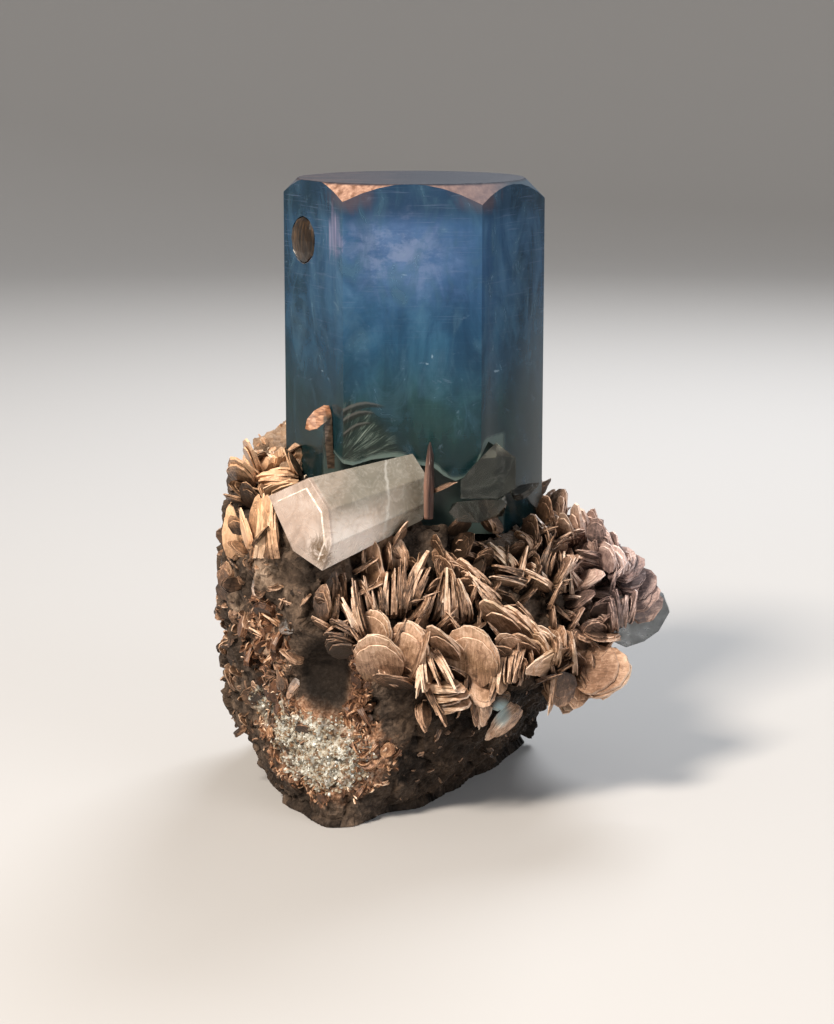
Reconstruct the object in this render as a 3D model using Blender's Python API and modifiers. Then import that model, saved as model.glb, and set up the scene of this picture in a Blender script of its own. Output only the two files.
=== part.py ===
"""An aquamarine crystal standing in a mica-covered block of matrix rock.

Millimetres are written as numbers and turned into metres by MM. The origin is on the flat of
the rock's foot, under the crystal's axis; -Y is the display side and +Z is up. Mica books and
small crystals are set out on a front sheet, the upright plane through the crystal's axis, as
they look from EYE, and are carried along that line of sight onto the rock.
"""
import math
import random

import bmesh
import bpy
from mathutils import Matrix, Vector, noise
from mathutils.bvhtree import BVHTree

MM = 0.001
GAP = 0.3                 # air left between two pieces that touch
EYE = Vector((0.6, -665.0, 211.0))

# The aquamarine: a six-sided prism, its top edge bevelled all round.
CRYSTAL_RADIUS = 36.2
CRYSTAL_TOP = 172.0
CRYSTAL_FOOT = 76.0
CRYSTAL_CORNERS = ((-36.2, 0.5), (-19.0, -31.0), (17.8, -31.4),
                   (35.8, -0.5), (18.5, 31.0), (-18.0, 31.2))
BEVEL_RADIUS = 31.2       # radius of the flat top that the bevel leaves
BEVEL_SHIFT = -1.0        # the bevel's axis is this far along X from the prism's
# Broken lower front edge, as (x, z) on the crystal's front faces, left to right.
RIM = ((-40, 90), (-27, 97), (-23.2, 103.5), (-22.4, 100.2), (-19.5, 97.6), (-16.6, 97.0), (-11.6, 98.6),
       (-5.4, 99.4), (0.9, 97.2), (5.0, 96.6), (7.9, 94.2), (11.0, 92.8), (14.8, 94.6), (17.6, 99.4),
       (19.8, 103.0), (25.5, 98.0), (28.5, 88.0), (31.0, 78.0), (31.0, 60.0), (-40, 60.0))
RIM_DEPTH = 11.0          # how far the break reaches in behind the front face

# The matrix rock: corners of the block before its surface is roughened.
FOOT_OUTLINE = ((-25, -46), (0, -21), (15, 11), (33, 44), (8, 50), (-46, 45), (-46, 22), (-38, 0), (-33, -20))
ROCK_CORNERS = (
    (-34, -38, 10), (-44, -25, 15), (-9, -37, 6), (-10, -51, 32), (-15, -54, 56),
    (-57, -8, 24), (-58.5, -6, 63), (-55, -8, 92), (-56, 22, 60), (-48, -36, 78), (-31, -51, 73),
    (10, -50, 41), (44, -38, 42), (-18, -43, 84), (12, -35, 84), (35, -24, 77), (56, -6, 57),
    (53, 20, 72), (50, 20, 36), (-37, 15, 105), (-36, 34, 105), (-49, 10, 99), (36, 46, 76),
    (-8, 53, 88), (-46, 45, 90), (40, 48, 30), (-51, 42, 20), (-29, -48, 40))
ROCK_VOXEL = 4.6
ROCK_ROUGHNESS = 4.2      # the deepest hollow of the broken surface
ROCK_KEEP = 0.30          # share of the facets kept
RECESS = (-25.5, 27.0)    # smooth hollow in the front, on the front sheet
RECESS_RADIUS = 11.0
RECESS_DEPTH = 6.5

# The pale crystal lying across the foot of the aquamarine: the corners of its free end face on
# the front sheet, that face's middle and facing, and the run from there to its far end's middle.
PALE_END = ((-41.4, 82.7), (-30.1, 87.9), (-24.6, 78.7), (-23.6, 68.6), (-26.4, 61.0), (-34.6, 66.8))
PALE_END_MIDDLE = (-27.6, -57.0, 86.1)
PALE_END_FACING = (-0.66, -0.75, -0.05)
PALE_RUN = (27.0, 23.5, 5.5)
PALE_TAPER = 0.74         # the far end's size, for the free end's

# Small crystals and single mica flakes round the aquamarine's foot.
# Corners are (x, z) on the front sheet and the depth y.
WEDGE = ((22.8, 98.0, -33.5), (17.1, 92.2, -37.0), (12.9, 87.0, -40.0), (12.9, 82.0, -43.5),
         (23.2, 82.0, -46.0), (28.4, 85.0, -39.0), (28.4, 93.6, -34.5), (16.6, 91.0, -28.0),
         (27.5, 92.0, -28.5), (14.0, 82.0, -30.0), (28.0, 84.0, -29.5))
SMOKY = ((9.6, 78.0, -45.0), (12.5, 75.4, -46.5), (18.0, 75.0, -47.5), (23.5, 77.6, -46.0),
         (26.0, 80.6, -43.0), (12.0, 81.0, -46.0), (24.0, 82.0, -45.0), (10.5, 80.5, -38.0),
         (25.5, 83.0, -36.0), (12.0, 75.0, -37.0), (25.0, 77.0, -36.0))
CAP_FLAKE = ((-30.8, 101.9, -26.5), (-30.3, 104.6, -26.0), (-28.3, 107.0, -25.5), (-25.4, 108.7, -24.5),
             (-22.9, 108.4, -23.8), (-22.7, 106.2, -24.8), (-24.6, 104.2, -27.0), (-27.4, 102.0, -28.2),
             (-29.6, 101.4, -27.6), (-27.4, 105.4, -22.8), (-24.0, 106.6, -22.4))
CAP_STALK = ((-25.4, 105.2, -26.2), (-22.6, 106.0, -25.2), (-25.2, 98.0, -27.2), (-22.6, 98.0, -25.8),
             (-24.6, 90.6, -27.0), (-22.6, 90.6, -26.0), (-23.4, 98.0, -23.6), (-24.0, 105.0, -23.0))
EDGE_FLAKE = ((64.6, 56.6), (70.8, 53.6), (72.6, 49.0), (69.6, 43.4), (65.5, 40.4), (60.4, 38.6),
              (53.0, 42.0), (51.0, 49.0), (54.0, 54.5))
EDGE_FLAKE_DEPTH = -13.0
EDGE_FLAKE_THICKNESS = 1.8
INCLUSION = (-30.9, 154.8, -10.1)  # mica lens let into the upper left face: on the front sheet, and y
INCLUSION_SIZE = (14.4, 3.4, 12.6)  # along the face, into it, upwards
INCLUSION_SINK = 0.3               # its middle lies this far behind the face

STANDING_BLADE = ((4.3, 99.3, -43.0), (3.6, 97.0, -43.5), (3.0, 92.6, -44.0), (2.3, 86.0, -44.5),
                  (2.5, 76.0, -44.5), (5.2, 76.0, -44.5), (5.6, 86.8, -44.0), (5.4, 94.6, -43.5),
                  (3.9, 76.0, -48.0), (4.1, 92.0, -46.6), (3.9, 76.0, -40.5), (4.3, 94.0, -41.0))

# Single plates of mica: root and tip (x, z, y), width, thickness, turn about their length.
LEANING_BLADE = ((5.2, 84.2, -42.5), (12.6, 87.4, -45.0), 4.5, 1.1, 6.0)
DARK_BLADE = ((27.6, 82.2, -30.5), (35.6, 87.6, -27.5), 7.0, 1.8, 25.0)

# Mica books, in fans. A fan is: first and last root, first and last tip on the front sheet (mm),
# number of books, width, thickness, how far the tips stand off the rock, and the turn in degrees
# of each plate about its length, where 0 shows its edge and 90 its face.
FRONT_FANS = (
    # left fan
    ((-26.5, 47), (-23.5, 49), (-25.6, 61), (-20.5, 64.5), 3, 7.5, 2.2, 6, 25),
    ((-23.6, 46), (-23.6, 46), (-21.7, 55), (-21.7, 55), 1, 7, 1.6, 8, 10),
    ((-16, 42), (-13.5, 42), (-21.8, 55.5), (-18.6, 61.8), 3, 9, 1.9, 9, 12),
    ((-12.6, 48), (-10.8, 48), (-16.8, 63), (-13.4, 58), 3, 8, 1.4, 8, 15),
    ((-12.5, 50), (-12.5, 50), (-11.4, 71), (-11.4, 71), 1, 8, 2.4, 7, 50),
    ((-7, 58), (-7, 58), (-6.6, 72.8), (-6.6, 72.8), 1, 10.5, 2.2, 2, 78),
    ((-16.6, 42), (-17.6, 37), (-27.6, 47), (-27.4, 40.6), 3, 10, 2.2, 8, 18),
    ((-12.4, 40), (-12.4, 40), (-10, 49.6), (-10, 49.6), 1, 10, 2.2, 9, 62),
    # centre fan
    ((-9.4, 49), (-3.6, 46), (-10.2, 58.5), (-2.6, 69.4), 5, 10, 2.2, 8, 6),
    ((-4.2, 47), (-1.6, 51), (0.4, 68.2), (4.8, 67.2), 3, 10, 2.5, 8, 10),
    # middle fan
    ((0.8, 49), (3.6, 46.6), (4.6, 54), (8.2, 61), 3, 9, 2.2, 8, 14),
    ((8.4, 44), (15, 46.6), (8.4, 63), (11.8, 60.6), 4, 9, 2.0, 9, 8),
    ((19, 54), (24.6, 48.6), (11.8, 65.4), (15.6, 58), 4, 10, 2.3, 8, 20),
    # left rosette
    ((-8.5, 28.5), (-8.5, 28.5), (-12.6, 43.4), (-12.6, 43.4), 1, 14, 2.8, 11, 72),
    ((-3.6, 31), (-3.6, 31), (-1.2, 47), (-1.2, 47), 1, 15, 3.4, 11, 68),
    ((-2.2, 28.4), (-2.2, 28.4), (4.4, 45.4), (4.4, 45.4), 1, 9, 2.2, 15, 25),
    ((11.4, 35), (11.4, 35), (4.6, 45), (4.6, 45), 1, 9, 2.2, 15, 40),
    ((16.4, 27.4), (16.4, 27.4), (15.4, 46.6), (15.4, 46.6), 1, 15, 3.4, 11, 72),
    ((2, 37.6), (4.4, 38.4), (0.4, 21.4), (14, 26.4), 4, 9, 2.2, 14, 14),
    ((2.4, 30), (2.4, 30), (9.8, 14.6), (9.8, 14.6), 1, 8, 1.9, 14, 12),
    ((-2, 26.6), (-2, 26.6), (-12.4, 31.2), (-12.4, 31.2), 1, 11, 2.2, 12, 24),
    ((4.6, 28.4), (6.4, 23), (16, 26.8), (17.2, 21.4), 3, 10, 2.2, 11, 18),
    ((2, 22.6), (2, 22.6), (3.6, 12), (3.6, 12), 1, 5, 2.6, 11, 30),
    # lower middle
    ((18, 27), (20, 26), (17.6, 12), (19.4, 13), 3, 7, 1.5, 11, 14),
    ((24.6, 37), (31.4, 39), (22.4, 21.4), (28.4, 27), 4, 10, 2.5, 11, 20),
    ((30, 21.4), (30, 21.4), (19.4, 9), (19.4, 9), 1, 10, 3.4, 12, 52),
    ((20, 30), (20, 30), (19, 20), (19, 20), 1, 9, 2.0, 8, 70),
    # right rosette
    ((46, 31), (46, 31), (62.8, 32.4), (62.8, 32.4), 1, 18, 3.4, 11, 74),
    ((43.6, 33), (43.6, 33), (54.4, 35), (54.4, 35), 1, 11, 2.4, 15, 68),
    ((30, 41), (40, 37), (20.4, 52), (45.6, 44.5), 6, 11, 2.3, 8, 58),
    ((31, 36), (38, 35), (21.6, 45), (40, 42.6), 4, 9, 2.3, 12, 48),
    ((45.4, 37), (45.4, 37), (30, 31), (30, 31), 1, 11, 2.0, 14, 32),
    ((40.4, 25), (40.4, 25), (29.2, 30.6), (29.2, 30.6), 1, 10, 2.2, 15, 24),
    ((41, 32), (41, 32), (38.4, 16.6), (38.4, 16.6), 1, 8, 2.2, 15, 12),
    ((45.4, 31), (45.4, 31), (45, 42), (45, 42), 1, 7, 1.5, 15, 8),
    ((45, 31), (45, 31), (45, 16.4), (45, 16.4), 1, 11, 2.4, 10, 70),
    ((52, 32), (52, 32), (52.6, 22), (52.6, 22), 1, 13, 2.6, 10, 70),
    # upper field
    ((8, 60), (15, 59), (6, 68.6), (17, 69.8), 3, 9, 2.2, 3, 30),
    ((24.4, 63), (27, 62), (17, 70.4), (22, 70), 3, 9, 2.2, 6, 20),
    ((30.6, 59), (30.6, 56), (19.6, 63.4), (20.6, 59), 3, 9, 1.8, 7, 28),
    ((28.4, 54.6), (28.4, 54.6), (31.8, 69.2), (31.8, 69.2), 1, 7, 2.0, 9, 10),
    ((36.6, 56), (34, 58), (31, 62), (34, 66), 3, 9, 1.6, 6, 30),
    ((33, 66), (37, 66), (26.6, 75), (30.6, 80), 3, 9, 2.2, 3, 24),
    ((35.4, 69), (38.4, 68), (34.6, 76), (39.4, 78.6), 3, 8, 1.9, 6, 16),
    ((36.6, 55.4), (41.4, 54.6), (39.4, 76), (41.6, 69), 3, 9, 2.3, 9, 10),
    ((47.4, 54), (44.6, 56), (41.2, 65), (43.6, 61), 3, 9, 1.6, 9, 16),
    ((56.4, 60.4), (56.4, 60.4), (42.2, 65.4), (42.2, 65.4), 1, 9, 2.4, 9, 26),
    ((45.6, 57), (45.6, 54), (54.6, 60.4), (53, 57), 3, 8, 1.5, 9, 22),
    ((46, 65), (50, 64), (43.4, 74), (48.8, 74.6), 3, 8, 2.0, 7, 18),
    # right shoulder
    ((46.6, 71), (52, 69), (46.6, 81), (52.6, 78.6), 3, 8, 2.2, 3, 58),
    ((50, 67), (56, 64), (51.6, 78), (57.2, 71.4), 3, 9, 2.2, 4, 50),
    ((53.6, 62), (59, 59), (55.4, 71), (61.4, 67.6), 3, 9, 2.2, 6, 55),
    ((52, 57), (52, 57), (73, 58.6), (73, 58.6), 1, 14, 2.2, 4, 62),
    ((56, 44), (60, 46), (54.4, 57), (62, 55), 4, 9, 2.2, 10, 20),
    ((55.4, 42.6), (52, 43), (49, 51.4), (46.6, 46), 3, 9, 1.6, 9, 45),
    ((48, 44), (54, 42), (50, 39.6), (56, 41), 3, 8, 1.6, 8, 30),
)
LEFT_FANS = (
    ((-47, 86), (-44.6, 90), (-52.4, 94.6), (-47.8, 98.2), 3, 9, 2.9, 8, 16),
    ((-33, 87.4), (-33, 84), (-47.6, 88), (-46, 84.6), 3, 10, 2.0, 10, 34),
    ((-41, 90), (-34, 92), (-43, 95), (-35, 98.6), 3, 9, 2.0, 7, 50),
    ((-47, 64), (-39.4, 64), (-44.4, 85), (-41.6, 87), 4, 8, 2.0, 9, 12),
    ((-46.4, 67), (-46.4, 67), (-49.8, 80), (-49.8, 80), 1, 7, 1.8, 10, 14),
    ((-51, 64), (-51, 64), (-53, 83), (-53, 83), 1, 7, 2.4, 7, 40),
    ((-53, 56), (-53, 56), (-54.4, 64.6), (-54.4, 64.6), 1, 6, 3.0, 7, 40),
)
# Upright walls that keep the three crusts apart, as the box (x, y) that each one fills.
LEFT_WALL = -28.4
BACK_WALL = 24.0
FAR = 150.0
FRONT_CELL = ((LEFT_WALL + GAP, -FAR), (FAR, BACK_WALL))
LEFT_CELL = ((-FAR, -FAR), (LEFT_WALL, 2.0))
BACK_CELL = ((-FAR, BACK_WALL + GAP), (FAR, FAR))
# Outlines of the mica's bed on the rock, on the front sheet. The bed fills the broken surface.
FRONT_BED = ((-25, 38), (-26, 50), (-22, 62), (-8, 70), (6, 72), (16, 74), (26, 80), (36, 84),
             (48, 80), (57, 68), (60, 56), (56, 42), (54, 30), (46, 24), (32, 24), (20, 20),
             (2, 22), (-10, 30), (-18, 36))
LEFT_BED = ((-56, 66), (-57, 92), (-46, 97), (-30, 97), (-30, 88), (-38, 84), (-40, 66))
BED_LIFT = 0.3            # how far the bed's top stands out of the unbroken block
SIDE_DEPTH = -30.0        # depth at which a book beside the rock looks for it
TIP_REACH = (12, 14)      # a tip is at most this far in front of or behind its root
ROOT_DEPTH = 1.0          # how far a book's root lies under the rock's surface
# Books that fill the bed between the fans, one to each square of a jittered grid.
FILL_STEP = 7.6
FILL_BOOK = (10.5, 8.5, 2.0)   # length, width, thickness
FILL_LIFT = (4.0, 7.5)
FILL_LEAN = 70.0               # the tips point up, give or take this many degrees
FILL_CLEAR = 6.5               # no fill book's root is nearer than this to the middle of a fan
FILL_OUTLINE = ((-24, 42), (-24, 50), (-20, 60), (-6, 66), (8, 70), (18, 72), (30, 76), (44, 74),
                (52, 66), (56, 54), (54, 44), (52, 32), (44, 26), (32, 26), (20, 22), (4, 24), (-8, 32))
# Fans on the sides and the back, by compass bearing about the axis (0 = +X, 90 = +Y) and height.
RIGHT_FANS = ((-32, 64), (-24, 46), (-16, 70), (-10, 56), (-4, 40), (3, 68), (8, 52), (15, 74),
              (19, 40), (22, 60))
BACK_FANS = ((34, 64), (42, 77), (50, 62), (58, 79), (66, 68), (75, 81), (83, 64), (91, 77),
             (100, 66), (108, 82), (116, 70), (124, 86), (131, 72))
SIDE_BOOKS = 3
SIDE_BOOK = (12.5, 10.0, 2.3)  # length, width, thickness
BACK_BED = ((-47, BACK_WALL + GAP), (46, FAR))
BACK_BED_FOOT = 56
SEED = 11


def clear_scene():
    for old in list(bpy.data.objects):
        bpy.data.objects.remove(old, do_unlink=True)


def collection(name):
    group = bpy.data.collections.new(name)
    bpy.context.scene.collection.children.link(group)
    return group


def add_object(name, bm, group):
    """Make an object from a bmesh measured in millimetres."""
    bmesh.ops.scale(bm, vec=(MM, MM, MM), verts=bm.verts)
    bmesh.ops.recalc_face_normals(bm, faces=bm.faces)
    mesh = bpy.data.meshes.new(name)
    bm.to_mesh(mesh)
    bm.free()
    obj = bpy.data.objects.new(name, mesh)
    group.objects.link(obj)
    return obj


def hide_tool(obj):
    """A cutter or a guide is never a piece."""
    obj.hide_render = True
    obj.display_type = 'WIRE'
    return obj


def bake(obj):
    """Replace the mesh by the one its modifiers give, and drop the modifiers."""
    depsgraph = bpy.context.evaluated_depsgraph_get()
    mesh = bpy.data.meshes.new_from_object(obj.evaluated_get(depsgraph))
    obj.modifiers.clear()
    obj.data = mesh
    return obj


def boolean(obj, operation, other):
    """Cut by, or join with, one object or every object of a collection."""
    modifier = obj.modifiers.new(operation.title(), 'BOOLEAN')
    modifier.operation = operation
    modifier.solver = 'EXACT'
    if isinstance(other, bpy.types.Collection):
        modifier.operand_type = 'COLLECTION'
        modifier.collection = other
    else:
        modifier.object = other
    return bake(obj)


def simplified(mesh, merge, angle):
    """Bmesh of triangles with near points merged and flat neighbours joined."""
    bm = bmesh.new()
    bm.from_mesh(mesh)
    bmesh.ops.remove_doubles(bm, verts=bm.verts, dist=merge * MM)
    bmesh.ops.dissolve_limit(bm, angle_limit=math.radians(angle), verts=bm.verts, edges=bm.edges)
    bmesh.ops.triangulate(bm, faces=bm.faces)
    return bm


def tidy(obj, angle=1.0):
    """Simplify as far as the solid stays closed, and keep only the largest body."""
    for merge in (0.02, 0.01, 0.004, 0.001, 0.0001):
        bm = simplified(obj.data, merge, angle)
        if all(edge.is_manifold for edge in bm.edges):
            break
        bm.free()
    else:
        bm = simplified(obj.data, 0.0, 0.0)
    bm.faces.ensure_lookup_table()
    seen, bodies = set(), []
    for start in bm.faces:
        if start.index in seen:
            continue
        body, stack = [], [start]
        seen.add(start.index)
        while stack:
            face = stack.pop()
            body.append(face)
            for edge in face.edges:
                for near in edge.link_faces:
                    if near.index not in seen:
                        seen.add(near.index)
                        stack.append(near)
        bodies.append(body)
    bodies.sort(key=lambda body: -sum(face.calc_area() for face in body))
    for body in bodies[1:]:
        bmesh.ops.delete(bm, geom=body, context='FACES')
    bm.to_mesh(obj.data)
    bm.free()
    return obj


def hull(points):
    """Closed convex solid on the given corners."""
    bm = bmesh.new()
    for point in points:
        bm.verts.new(point)
    shape = bmesh.ops.convex_hull(bm, input=bm.verts)
    loose = {item for item in shape['geom_interior'] + shape['geom_unused']
             if isinstance(item, bmesh.types.BMVert)}
    bmesh.ops.delete(bm, geom=list(loose), context='VERTS')
    return bm


def sight(x, z, y):
    """Point at depth y that shows at (x, z) on the front sheet."""
    reach = (y - EYE.y) / -EYE.y
    return EYE + (Vector((x, 0, z)) - EYE) * reach


def paint(obj, name, colour, roughness, transmission=0.0, ior=1.5):
    material = bpy.data.materials.new(name)
    material.use_nodes = True
    shader = material.node_tree.nodes['Principled BSDF']
    shader.inputs['Base Color'].default_value = (*colour, 1)
    shader.inputs['Roughness'].default_value = roughness
    shader.inputs['Metallic'].default_value = 0
    shader.inputs['IOR'].default_value = ior
    shader.inputs['Transmission Weight'].default_value = transmission
    obj.data.materials.clear()
    obj.data.materials.append(material)


def grown(obj, distance, name, group):
    """Copy of a solid with its surface moved outwards, to cut a clearance with."""
    bm = bmesh.new()
    bm.from_mesh(obj.data)
    bm.normal_update()
    moves = [(vert, vert.normal * vert.calc_shell_factor() * distance * MM) for vert in bm.verts]
    for vert, move in moves:
        vert.co += move
    mesh = bpy.data.meshes.new(name)
    bm.to_mesh(mesh)
    bm.free()
    copy = bpy.data.objects.new(name, mesh)
    group.objects.link(copy)
    return hide_tool(copy)


def block_hull():
    """The block of matrix before its surface is roughened, running on below the ground."""
    corners = list(ROCK_CORNERS)
    for x, y in FOOT_OUTLINE:
        corners += [(x, y, 0), (x, y, -8)]
    return hull(corners)


def make_rock(group):
    """Broken block of matrix, hollowed in front and cut flat under its foot."""
    rock = add_object('matrix_rock', block_hull(), group)
    remesh = rock.modifiers.new('Remesh', 'REMESH')
    remesh.mode = 'VOXEL'
    remesh.voxel_size = ROCK_VOXEL * MM
    bake(rock)
    bm = bmesh.new()
    bm.from_mesh(rock.data)
    bm.normal_update()
    for vert in bm.verts:
        point = vert.co / MM
        depth = 0.5 + 0.5 * noise.fractal(point / 17.0, 0.7, 2.1, 4)
        depth = ROCK_ROUGHNESS * min(max(depth, 0.0), 1.0)
        across = point - EYE
        on_sheet = EYE + across * (-EYE.y / across.y)
        if point.y < -20:
            away = math.hypot(on_sheet.x - RECESS[0], on_sheet.z - RECESS[1]) / RECESS_RADIUS
            depth += RECESS_DEPTH * max(0.0, 1.0 - away * away)
        vert.co -= vert.normal * depth * MM
    cut = bmesh.ops.bisect_plane(bm, geom=bm.verts[:] + bm.edges[:] + bm.faces[:], dist=1e-7,
                                 plane_co=(0, 0, 0), plane_no=(0, 0, 1), clear_inner=True)
    rim = [item for item in cut['geom_cut'] if isinstance(item, bmesh.types.BMEdge)]
    bmesh.ops.holes_fill(bm, edges=rim)
    bmesh.ops.triangulate(bm, faces=bm.faces)
    bm.to_mesh(rock.data)
    bm.free()
    decimate = rock.modifiers.new('Decimate', 'DECIMATE')
    decimate.ratio = ROCK_KEEP
    bake(rock)
    for vert in rock.data.vertices:
        if vert.co.z < 0.4 * MM:
            vert.co.z = 0.0
    return tidy(rock, 2.0)


def make_aquamarine(group, tools):
    bm = bmesh.new()
    bmesh.ops.create_cone(bm, cap_ends=True, segments=len(CRYSTAL_CORNERS), radius1=CRYSTAL_RADIUS,
                          radius2=CRYSTAL_RADIUS, depth=CRYSTAL_TOP - CRYSTAL_FOOT)
    for vert in bm.verts:
        corner = min(CRYSTAL_CORNERS, key=lambda c: abs(math.remainder(
            math.atan2(c[1], c[0]) - math.atan2(vert.co.y, vert.co.x) + 0.05, math.tau)))
        vert.co = (*corner, CRYSTAL_TOP if vert.co.z > 0 else CRYSTAL_FOOT)
    crystal = add_object('aquamarine_crystal', bm, group)
    bm = bmesh.new()
    reach = 20.0              # the bevel's cone runs this far down and out
    bmesh.ops.create_cone(bm, cap_ends=True, segments=48, radius1=BEVEL_RADIUS + reach,
                          radius2=BEVEL_RADIUS, depth=reach)
    bmesh.ops.translate(bm, verts=bm.verts, vec=(BEVEL_SHIFT, 0, CRYSTAL_TOP - reach / 2))
    low = [face for face in bm.faces if face.normal.z < -0.9]
    down = bmesh.ops.extrude_face_region(bm, geom=low)
    bmesh.ops.translate(bm, verts=[item for item in down['geom'] if isinstance(item, bmesh.types.BMVert)],
                        vec=(0, 0, -CRYSTAL_TOP))
    bmesh.ops.delete(bm, geom=low, context='FACES_ONLY')
    bevel = hide_tool(add_object('bevel_cone', bm, tools))
    boolean(crystal, 'INTERSECT', bevel)
    return crystal


def outline_cutter(name, outline, front, back, tools):
    """Solid of an (x, z) outline, between two depths y."""
    curve = bpy.data.curves.new(name, 'CURVE')
    curve.dimensions = '2D'
    curve.fill_mode = 'BOTH'
    curve.extrude = (back - front) / 2 * MM
    spline = curve.splines.new('POLY')
    spline.points.add(len(outline) - 1)
    for point, (x, z) in zip(spline.points, outline):
        point.co = (x * MM, z * MM, 0, 1)
    spline.use_cyclic_u = True
    flat = bpy.data.objects.new(name + '_outline', curve)
    tools.objects.link(flat)
    bpy.context.view_layer.update()
    mesh = bpy.data.meshes.new_from_object(flat.evaluated_get(bpy.context.evaluated_depsgraph_get()))
    bpy.data.objects.remove(flat, do_unlink=True)
    stand = Matrix.Translation((0, (front + back) / 2 * MM, 0)) @ Matrix.Rotation(math.pi / 2, 4, 'X')
    bm = bmesh.new()
    bm.from_mesh(mesh)
    bmesh.ops.transform(bm, matrix=stand, verts=bm.verts)
    bmesh.ops.remove_doubles(bm, verts=bm.verts, dist=0.001 * MM)
    bmesh.ops.recalc_face_normals(bm, faces=bm.faces)
    bm.to_mesh(mesh)
    bm.free()
    solid = bpy.data.objects.new(name, mesh)
    tools.objects.link(solid)
    return hide_tool(solid)


def make_pale_crystal(group):
    """Stubby six-sided prism, a little narrower at its far end."""
    middle, facing, run = Vector(PALE_END_MIDDLE), Vector(PALE_END_FACING), Vector(PALE_RUN)
    near = []
    for x, z in PALE_END:
        aim = Vector((x, 0, z)) - EYE
        near.append(EYE + aim * ((middle - EYE).dot(facing) / aim.dot(facing)))
    far = [middle + run + (corner - middle) * PALE_TAPER for corner in near]
    return add_object('pale_crystal', hull(near + far), group)


def plate(root, tip, width, thickness, turn, taper=0.86):
    """Five-sided mica plate from root to tip, its edge to the front at turn 0."""
    along = (tip - root).normalized()
    look = (root - EYE).normalized()
    side = along.cross(look).normalized()
    normal = Matrix.Rotation(math.radians(turn), 3, along) @ side
    across = normal.cross(along)
    bm = bmesh.new()
    bmesh.ops.create_cone(bm, cap_ends=True, segments=5, radius1=0.5, radius2=0.5 * taper, depth=1.0,
                          matrix=Matrix.Rotation(math.radians(90), 4, 'Z'))
    bmesh.ops.scale(bm, vec=(width, (tip - root).length * 1.06, thickness), verts=bm.verts)
    frame = Matrix((across, along, normal)).transposed().to_4x4()
    frame.translation = (root + tip) / 2
    bmesh.ops.transform(bm, matrix=frame, verts=bm.verts)
    return bm


def single_blade(name, blade, group):
    root, tip, width, thickness, turn = blade
    return add_object(name, plate(sight(*root), sight(*tip), width, thickness, turn), group)


def on_rock(tree, x, z):
    """Where the line of sight through (x, z) of the front sheet meets or passes the rock."""
    aim = (Vector((x, 0, z)) - EYE).normalized()
    hit = tree.ray_cast(EYE * MM, aim)[0]
    if hit is None:
        beside = tree.find_nearest(sight(x, z, SIDE_DEPTH) * MM)[0]
        return sight(x, z, beside.y / MM), aim
    return hit / MM, aim


def between(start, end, share):
    return [a + (b - a) * share for a, b in zip(start, end)]


def add_fans(fans, tree, group, seed):
    """Books of every fan, as separate solids in the group."""
    jitter = random.Random(seed)
    for number, fan in enumerate(fans):
        first, last, tip_first, tip_last, count, width, thickness, lift, turn = fan
        for book in range(count):
            share = book / (count - 1) if count > 1 else 0.5
            root, aim = on_rock(tree, *between(first, last, share))
            tip_spot = between(tip_first, tip_last, share)
            tip, tip_aim = on_rock(tree, *tip_spot)
            level = min(max(tip.y, root.y - TIP_REACH[0]), root.y + TIP_REACH[1])
            tip = sight(*tip_spot, level) - tip_aim * lift
            root = root + aim * ROOT_DEPTH
            wide = width * jitter.uniform(0.88, 1.08)
            bm = plate(root, tip, wide, thickness * jitter.uniform(0.85, 1.1), turn + jitter.uniform(-7, 7))
            add_object(f'book_{number}_{book}', bm, group)


def inside(x, z, outline):
    """True if (x, z) is within the closed outline."""
    found = False
    for (x1, z1), (x2, z2) in zip(outline, outline[1:] + outline[:1]):
        if (z1 > z) != (z2 > z) and x < x1 + (z - z1) / (z2 - z1) * (x2 - x1):
            found = not found
    return found


def add_fill(outline, fans, tree, group, seed):
    """Single books over an outline of the front sheet, between the fans."""
    jitter = random.Random(seed)
    length, width, thickness = FILL_BOOK
    low_x, low_z = min(x for x, _ in outline), min(z for _, z in outline)
    columns = int((max(x for x, _ in outline) - low_x) / FILL_STEP) + 1
    rows = int((max(z for _, z in outline) - low_z) / FILL_STEP) + 1
    middles = [[sum(spot[axis] for spot in fan[:4]) / 4 for axis in (0, 1)] for fan in fans]
    for column in range(columns):
        for row in range(rows):
            x = low_x + (column + jitter.uniform(0.2, 0.8)) * FILL_STEP
            z = low_z + (row + jitter.uniform(0.2, 0.8)) * FILL_STEP
            lean = math.radians(jitter.uniform(-FILL_LEAN, FILL_LEAN))
            lift, turn = jitter.uniform(*FILL_LIFT), jitter.uniform(-55, 55)
            size = jitter.uniform(0.85, 1.15)
            if not inside(x, z, outline) or min(math.dist((x, z), spot) for spot in middles) < FILL_CLEAR:
                continue
            root, aim = on_rock(tree, x, z)
            tip = root + Vector((math.sin(lean), 0, math.cos(lean))) * length * size - aim * lift
            bm = plate(root + aim * ROOT_DEPTH, tip, width * size, thickness, turn)
            add_object(f'fill_{column}_{row}', bm, group)


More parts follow.
